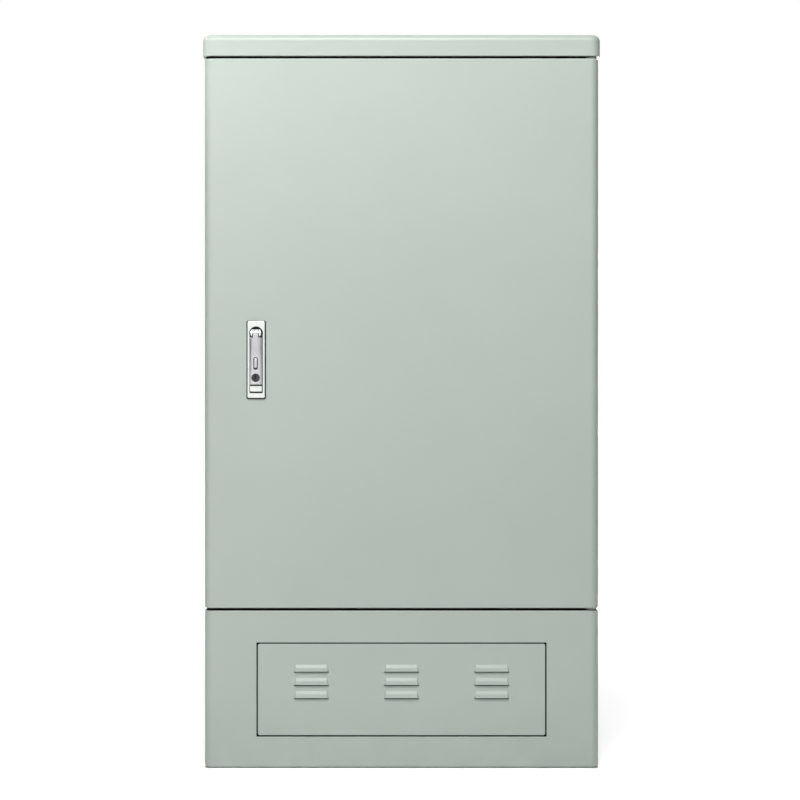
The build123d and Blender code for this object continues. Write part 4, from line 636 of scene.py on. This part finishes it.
# Lock plate: a zinc die casting, polished and nickel plated, clamped on the door over a thin rubber seal.
# The bed that the handle lies in, and the plate's own edge, are painted black as shade.
nickel_light = (0.83, 0.87, 0.84, 1.0)
nickel_dark = (0.77, 0.81, 0.78, 1.0)
nickel_patches = 90.0
nickel_smears = 120.0
nickel_grain = 1600.0
nickel_grain_depth = 0.000006
# Black painted as shade in the plate's bed, on its edge, on the spindle's head and low on the button
bed_shade_black = (0.012, 0.013, 0.013, 1.0)
bed_shade_roughness = 0.55
plate_roughness = (0.24, 0.34)
plate_front_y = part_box("lock_plate")[0].y
bed_shade_start = 0.0007
bed_shade_full = 0.0013

# How far back a point lies, from 0 at one depth to 1 at another
depth_group, depth_in, depth_out = new_group(
    "depth_mask", {"Place": "Vector", "Front": "Float", "Back": "Float"}, {"Mask": "Float"},
)
depth_here = add_node(depth_group, "SeparateXYZ", Vector=depth_in["Place"]).outputs["Y"]
feed(depth_group, depth_out["Mask"], add_node(
    depth_group, "MapRange", Value=depth_here, From_Min=depth_in["Front"], From_Max=depth_in["Back"],
).outputs[0])


def nickelled(name, roughness, front, back):
    """Nickel plate that turns to black painted shade between two depths."""
    finish, tree, shader, place = new_finish(name)
    gloss, dull = roughness
    mask = use_group(tree, depth_group, Place=place, Front=front, Back=back)["Mask"]
    tint = use_group(
        tree, tint_group, Place=place, Light=nickel_light, Dark=nickel_dark, Patches=nickel_patches,
    )["Tint"]
    skin = use_group(
        tree, skin_group, Place=place, Dimples=nickel_grain, Patches=nickel_smears, Gloss=gloss, Dull=dull,
    )
    relief = add_node(tree, "Bump", Distance=nickel_grain_depth, Height=skin["Height"])
    feed(tree, shader["Base Color"], mix_colours(tree, mask, tint, bed_shade_black))
    feed(tree, shader["Roughness"], mix_numbers(tree, mask, skin["Roughness"], bed_shade_roughness))
    feed(tree, shader["Metallic"], add_sum(tree, "SUBTRACT", 1.0, mask))
    feed(tree, shader["Normal"], relief.outputs["Normal"])
    return finish


plate_nickel_and_shade = nickelled(
    "plate_nickel_and_shade", plate_roughness, front=plate_front_y + bed_shade_start, back=plate_front_y + bed_shade_full,
)
dress(plate_nickel_and_shade, "lock_plate")
dress(plug_rubber, "lock_seal")

# Spindle: a turned steel part with two ears for the handle's pin. The ears are nickelled and bright, and
# the head between them lies deep in the plate and is painted black as shade.
dress(plate_nickel_and_shade, "lock_spindle")
dress(bolt_zinc, "handle_pin")

# Handle: a zinc die casting, crowned across its width and satin nickel plated, that turns on a pin between
# the ears. An oval groove marks it, its walls and floor painted black as shade, and the key cylinder sits in
# its lower bore.
handle_low, handle_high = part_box("lock_handle")
pin_low, pin_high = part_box("handle_pin")
cylinder_low, cylinder_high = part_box("lock_cylinder")
satin_light = (0.565, 0.56, 0.58, 1.0)
satin_dark = (0.515, 0.51, 0.53, 1.0)
groove_shade_grey = (0.02, 0.02, 0.02, 1.0)
groove_shade_black = (0.010, 0.010, 0.011, 1.0)
handle_columns = 12
handle_crown = 0.0026
handle_shoulder_drop = 0.0064
neck_half_width = 0.0043
barrel_steps = 6
handle_edge = 0.0011
handle_edge_segments = 4
handle_rim = 0.00028
handle_rim_segments = 2
handle_rim_angle = math.radians(50.0)
handle_smooth_angle = math.radians(35.0)
rod_sides = 48
bore_clearance = 0.00006
groove_outer_radius = 0.0032
groove_width = 0.0013
groove_half_length = 0.0093
groove_depth = 0.0016
groove_below_pin = 0.0438
groove_foot = 0.0017
groove_shade_slot = 1
cutter_overrun = 0.002
near = 0.00001
near_digits = 6
handle_x = (handle_low.x + handle_high.x) / 2
handle_half = (handle_high.x - handle_low.x) / 2
pin_y = (pin_low.y + pin_high.y) / 2
pin_z = (pin_low.z + pin_high.z) / 2
shoulder_z = pin_z - handle_shoulder_drop
crown_side_y = handle_low.y + handle_crown
crown_radius = (handle_half ** 2 + handle_crown ** 2) / (2 * handle_crown)
groove_z = pin_z - groove_below_pin


def block_between(name, low, high):
    """A box between two corners, its place in its mesh."""
    bpy.ops.object.select_all(action="DESELECT")
    bpy.ops.mesh.primitive_cube_add(size=1.0, location=[(a + b) / 2 for a, b in zip(low, high)])
    made = bpy.context.object
    made.name = name
    made.scale = [b - a for a, b in zip(low, high)]
    bpy.ops.object.transform_apply(location=True, rotation=True, scale=True)
    return made


def rod_through(name, middle, radius, length, turn):
    """A rod about a middle point, turned to lie along its axis."""
    bpy.ops.object.select_all(action="DESELECT")
    bpy.ops.mesh.primitive_cylinder_add(
        vertices=rod_sides, radius=radius, depth=length, location=middle, rotation=turn,
    )
    made = bpy.context.object
    made.name = name
    bpy.ops.object.transform_apply(location=True, rotation=True, scale=True)
    return made


def cut_away(piece, cutter):
    """Cuts one shape out of a piece and throws the cutter away."""
    bpy.ops.object.select_all(action="DESELECT")
    piece.select_set(True)
    bpy.context.view_layer.objects.active = piece
    bpy.ops.object.modifier_add(type="BOOLEAN")
    cut = piece.modifiers[-1]
    cut.operation = "DIFFERENCE"
    cut.solver = "EXACT"
    cut.object = cutter
    bpy.ops.object.modifier_apply(modifier=cut.name)
    bpy.data.objects.remove(cutter, do_unlink=True)


cast_handle = block_between(
    "cast_handle", (handle_low.x, crown_side_y, handle_low.z), (handle_high.x, handle_high.y, shoulder_z),
)
start_edit(cast_handle)
bpy.ops.mesh.select_mode(type="EDGE")
bpy.ops.mesh.select_all(action="DESELECT")
handle_mesh = bmesh.from_edit_mesh(cast_handle.data)
for edge in handle_mesh.edges:
    edge.select_set(abs(edge.verts[0].co.x - edge.verts[1].co.x) > handle_half)
bmesh.update_edit_mesh(cast_handle.data)
bpy.ops.mesh.subdivide(number_cuts=handle_columns - 1)
column_width = 2 * handle_half / handle_columns
neck_column = round(neck_half_width / column_width) * column_width
pick(cast_handle, "VERT", lambda point: abs(abs(point.x - handle_x) - neck_column) < near)
bpy.ops.transform.resize(
    value=(neck_half_width / neck_column, 1.0, 1.0), center_override=(handle_x, pin_y, pin_z),
)
handle_mesh = bmesh.from_edit_mesh(cast_handle.data)
columns = sorted({round(corner.co.x, near_digits) for corner in handle_mesh.verts})
for column in columns:
    pick(cast_handle, "VERT", lambda point: abs(point.x - column) < near and point.y < crown_side_y + near)
    fall = crown_radius - math.sqrt(crown_radius ** 2 - (column - handle_x) ** 2)
    bpy.ops.transform.translate(value=(0.0, fall - handle_crown, 0.0))
pick(
    cast_handle, "FACE",
    lambda point: point.z > shoulder_z - near and abs(point.x - handle_x) < neck_half_width + near,
)
bpy.ops.mesh.extrude_region_move(TRANSFORM_OT_translate={"value": (0.0, 0.0, handle_shoulder_drop)})
barrel_radius = handle_high.z - pin_z
for step in range(1, barrel_steps + 1):
    angle = step * math.pi / 2 / barrel_steps
    before = angle - math.pi / 2 / barrel_steps
    rise = barrel_radius * (math.sin(angle) - math.sin(before))
    narrowing = max(math.cos(angle), near) / math.cos(before)
    bpy.ops.mesh.extrude_region_move(TRANSFORM_OT_translate={"value": (0.0, 0.0, rise)})
    bpy.ops.transform.resize(value=(1.0, narrowing, 1.0), center_override=(handle_x, pin_y, pin_z))
bpy.ops.mesh.select_all(action="SELECT")
bpy.ops.mesh.remove_doubles(threshold=near)
bpy.ops.mesh.select_mode(type="EDGE")
bpy.ops.mesh.select_all(action="DESELECT")
handle_mesh = bmesh.from_edit_mesh(cast_handle.data)
for edge in handle_mesh.edges:
    ends = [corner.co for corner in edge.verts]
    front = all(end.y < crown_side_y + near for end in ends)
    foot = all(end.z < handle_low.z + near for end in ends)
    shoulder = all(
        abs(end.z - shoulder_z) < near and abs(end.x - handle_x) > neck_half_width - near for end in ends
    )
    side = all(abs(abs(end.x - handle_x) - handle_half) < near for end in ends)
    neck_side = all(
        abs(abs(end.x - handle_x) - neck_half_width) < near and end.z > shoulder_z - near for end in ends
    )
    edge.select_set(front and (foot or shoulder or side or neck_side))
bmesh.update_edit_mesh(cast_handle.data)
bpy.ops.mesh.bevel(
    offset=handle_edge, segments=handle_edge_segments, affect="EDGES", clamp_overlap=True,
)
bpy.ops.mesh.select_all(action="SELECT")
bpy.ops.mesh.normals_make_consistent(inside=False)
bpy.ops.object.mode_set(mode="OBJECT")

key_z = (cylinder_low.z + cylinder_high.z) / 2
key_radius = (cylinder_high.z - cylinder_low.z) / 2 + bore_clearance
handle_depth = handle_high.y - handle_low.y
across = (math.pi / 2, 0.0, 0.0)
cut_away(cast_handle, rod_through(
    "key_bore", (handle_x, pin_y, key_z), key_radius, handle_depth + 2 * cutter_overrun, across,
))
pin_radius = (pin_high.z - pin_low.z) / 2 + bore_clearance
cut_away(cast_handle, rod_through(
    "pin_bore", (handle_x, pin_y, pin_z), pin_radius, 4 * handle_half, (0.0, math.pi / 2, 0.0),
))
groove_cutter = rod_through(
    "oval_groove", (handle_x, handle_low.y + groove_depth - cutter_overrun, groove_z),
    groove_outer_radius, 2 * cutter_overrun, across,
)
start_edit(groove_cutter)
for side in (-1.0, 1.0):
    pick(groove_cutter, "VERT", lambda point: (point.z - groove_z) * side > near)
    bpy.ops.transform.translate(value=(0.0, 0.0, side * (groove_half_length - groove_outer_radius)))
for face_y in (handle_low.y + groove_depth - 2 * cutter_overrun, handle_low.y + groove_depth):
    pick(groove_cutter, "FACE", lambda point: abs(point.y - face_y) < near)
    bpy.ops.mesh.inset(thickness=groove_width)


def from_oval_line(point):
    """How far a point of the handle lies from the oval's middle line, seen from the front."""
    past_straight = abs(point.z - groove_z) - groove_half_length + groove_outer_radius
    return math.hypot(point.x - handle_x, max(past_straight, 0.0))


inside_oval = groove_outer_radius - groove_width + near
pick(groove_cutter, "VERT", lambda point: from_oval_line(point) < inside_oval and point.z < groove_z)
bpy.ops.transform.translate(value=(0.0, 0.0, groove_foot))
pick(groove_cutter, "FACE", lambda point: from_oval_line(point) < inside_oval)
bpy.ops.mesh.bridge_edge_loops()
bpy.ops.mesh.select_all(action="SELECT")
bpy.ops.mesh.normals_make_consistent(inside=False)
bpy.ops.object.mode_set(mode="OBJECT")
cut_away(cast_handle, groove_cutter)

bpy.ops.object.select_all(action="DESELECT")
cast_handle.select_set(True)
bpy.context.view_layer.objects.active = cast_handle
bpy.ops.object.modifier_add(type="BEVEL")
rim = cast_handle.modifiers[-1]
rim.width = handle_rim
rim.segments = handle_rim_segments
rim.limit_method = "ANGLE"
rim.angle_limit = handle_rim_angle
bpy.ops.object.modifier_apply(modifier=rim.name)
bpy.ops.object.shade_smooth_by_angle(angle=handle_smooth_angle)
handle_satin = plated(
    "handle_satin", light=satin_light, dark=satin_dark,
    patches=45.0, dimples=2600.0, depth=0.000008, roughness=(0.30, 0.40),
)
# Painted shade: the groove's walls and floor are painted near black for the shade inside it.
groove_shade_paint = coated(
    "groove_shade_paint", light=groove_shade_grey, dark=groove_shade_black,
    patches=300.0, dimples=2000.0, depth=0.000005, roughness=(0.45, 0.60),
)
cast_handle.data.materials.append(handle_satin)
cast_handle.data.materials.append(groove_shade_paint)
# Painted shade: faces sunk into the groove take the black material.
start_edit(cast_handle)
groove_floor_y = handle_low.y + groove_depth
bpy.ops.mesh.select_mode(type="FACE")
bpy.ops.mesh.select_all(action="DESELECT")
handle_mesh = bmesh.from_edit_mesh(cast_handle.data)
for face in handle_mesh.faces:
    middle = face.calc_center_median()
    crown_y = handle_low.y + crown_radius - math.sqrt(crown_radius ** 2 - (middle.x - handle_x) ** 2)
    sunk = crown_y + handle_rim / 2 < middle.y < groove_floor_y + near
    face.select_set(sunk and from_oval_line(middle) < groove_outer_radius + near)
bmesh.update_edit_mesh(cast_handle.data)
cast_handle.active_material_index = groove_shade_slot
bpy.ops.object.material_slot_assign()
bpy.ops.object.mode_set(mode="OBJECT")
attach(cast_handle, "handle")
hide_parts("lock_handle")

# Key cylinder: a small steel plug in the handle's bore, blacked, with a keyway in its sunk face. The key
# turns it to let the handle go.
cylinder_steel = plated(
    "cylinder_steel", light=(0.085, 0.085, 0.088, 1.0), dark=(0.045, 0.045, 0.047, 1.0),
    patches=260.0, dimples=2600.0, depth=0.00001, roughness=(0.30, 0.45),
)
dress(cylinder_steel, "lock_cylinder")

# Release button: a nickelled die casting on a spring, pushed in to let the handle spring up. It stands in a
# slot at the lower end of the plate's bed.
button_front_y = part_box("release_button")[0].y
# Painted shade: the button turns black from these depths behind its face, as the shade in its slot.
button_shade_start = 0.0052
button_shade_full = 0.0062
button_nickel_and_shade = nickelled(
    "button_nickel_and_shade", plate_roughness, front=button_front_y + button_shade_start, back=button_front_y + button_shade_full,
)
dress(button_nickel_and_shade, "release_button")

# Lock works: a clamp plate, a cam and two flat rods behind the door's skin, cut from galvanised sheet and
# held by zinc-plated screws, pins and a nut. The cam draws the rods in when the handle is swung, and bent
# guides lead them.
dress(bracket_zinc, "lock_clamp_plate", "lock_cam", "upper_lock_rod", "lower_lock_rod", "rod_guides")
dress(bolt_zinc, "lock_screws", "cam_nut", "cam_pins")

# Equipment frame: two galvanised uprights with folded flanges, bolted to the floor plate and to the roof
# panel. All the modules hang on them.
upright_zinc = galvanised("upright_zinc", crystals=70.0)
dress(upright_zinc, "left_upright", "right_upright")
dress(bolt_zinc, "rack_bolts")

# Patch modules: six boxes folded from steel sheet and powder coated light grey, screwed to the uprights.
# Powder coat has a coarser, duller skin than the shell's paint.
module_count = 6
module_coat = coated(
    "module_coat", light=(0.60, 0.61, 0.61, 1.0), dark=(0.55, 0.56, 0.565, 1.0),
    patches=14.0, dimples=900.0, depth=0.00005, roughness=(0.48, 0.60),
)
dress(module_coat, *[f"patch_module_{number}" for number in range(1, module_count + 1)])
dress(bolt_zinc, "equipment_screws")

# Fibre adapters: 144 snap-in couplers moulded in blue plastic, twenty-four to a module, each closed in
# front by a white dust cap of softer plastic.
adapter_blue = coated(
    "adapter_blue", light=(0.030, 0.135, 0.42, 1.0), dark=(0.024, 0.112, 0.36, 1.0),
    patches=60.0, dimples=1400.0, depth=0.00001, roughness=(0.30, 0.42),
)
cap_white = coated(
    "cap_white", light=(0.80, 0.80, 0.78, 1.0), dark=(0.75, 0.75, 0.73, 1.0),
    patches=80.0, dimples=1400.0, depth=0.00001, roughness=(0.42, 0.54),
)
dress(adapter_blue, "fibre_adapters")
dress(cap_white, "dust_caps")

# Splice box: a folded steel box for the splice trays, powder coated with the modules and closed by a plain
# cover plate on the uprights.
dress(module_coat, "splice_box", "splice_box_cover")

# Slack storage: five spools moulded in light plastic on a galvanised panel, and black plastic rings on the
# right upright that lead the fibres.
spool_plastic = coated(
    "spool_plastic", light=(0.72, 0.73, 0.72, 1.0), dark=(0.66, 0.67, 0.66, 1.0),
    patches=22.0, dimples=900.0, depth=0.00001, roughness=(0.36, 0.46),
)
black_plastic = coated(
    "black_plastic", light=(0.040, 0.040, 0.041, 1.0), dark=(0.025, 0.025, 0.026, 1.0),
    patches=50.0, dimples=1300.0, depth=0.00002, roughness=(0.42, 0.55),
)
dress(bracket_zinc, "spool_panel")
dress(spool_plastic, "storage_spools")
dress(bolt_zinc, "spool_screws")
dress(black_plastic, "fibre_rings")

# Cable clamps: black plastic saddles on a galvanised bar, which hold the incoming cables above the floor
# plate.
dress(bracket_zinc, "cable_clamp_bar")
dress(black_plastic, "cable_clamps")

# Earth bar: a drawn brass strip with bolts for the earth wires, on two red resin insulators that keep it
# apart from the frame.
earth_brass = plated(
    "earth_brass", light=(0.78, 0.58, 0.27, 1.0), dark=(0.62, 0.44, 0.19, 1.0),
    patches=45.0, dimples=1800.0, depth=0.00001, roughness=(0.26, 0.42),
)
insulator_red = coated(
    "insulator_red", light=(0.34, 0.030, 0.022, 1.0), dark=(0.27, 0.022, 0.018, 1.0),
    patches=70.0, dimples=1200.0, depth=0.00001, roughness=(0.28, 0.40),
)
dress(earth_brass, "earth_bar")
dress(insulator_red, "earth_insulators")
dress(bolt_zinc, "earth_bolts")
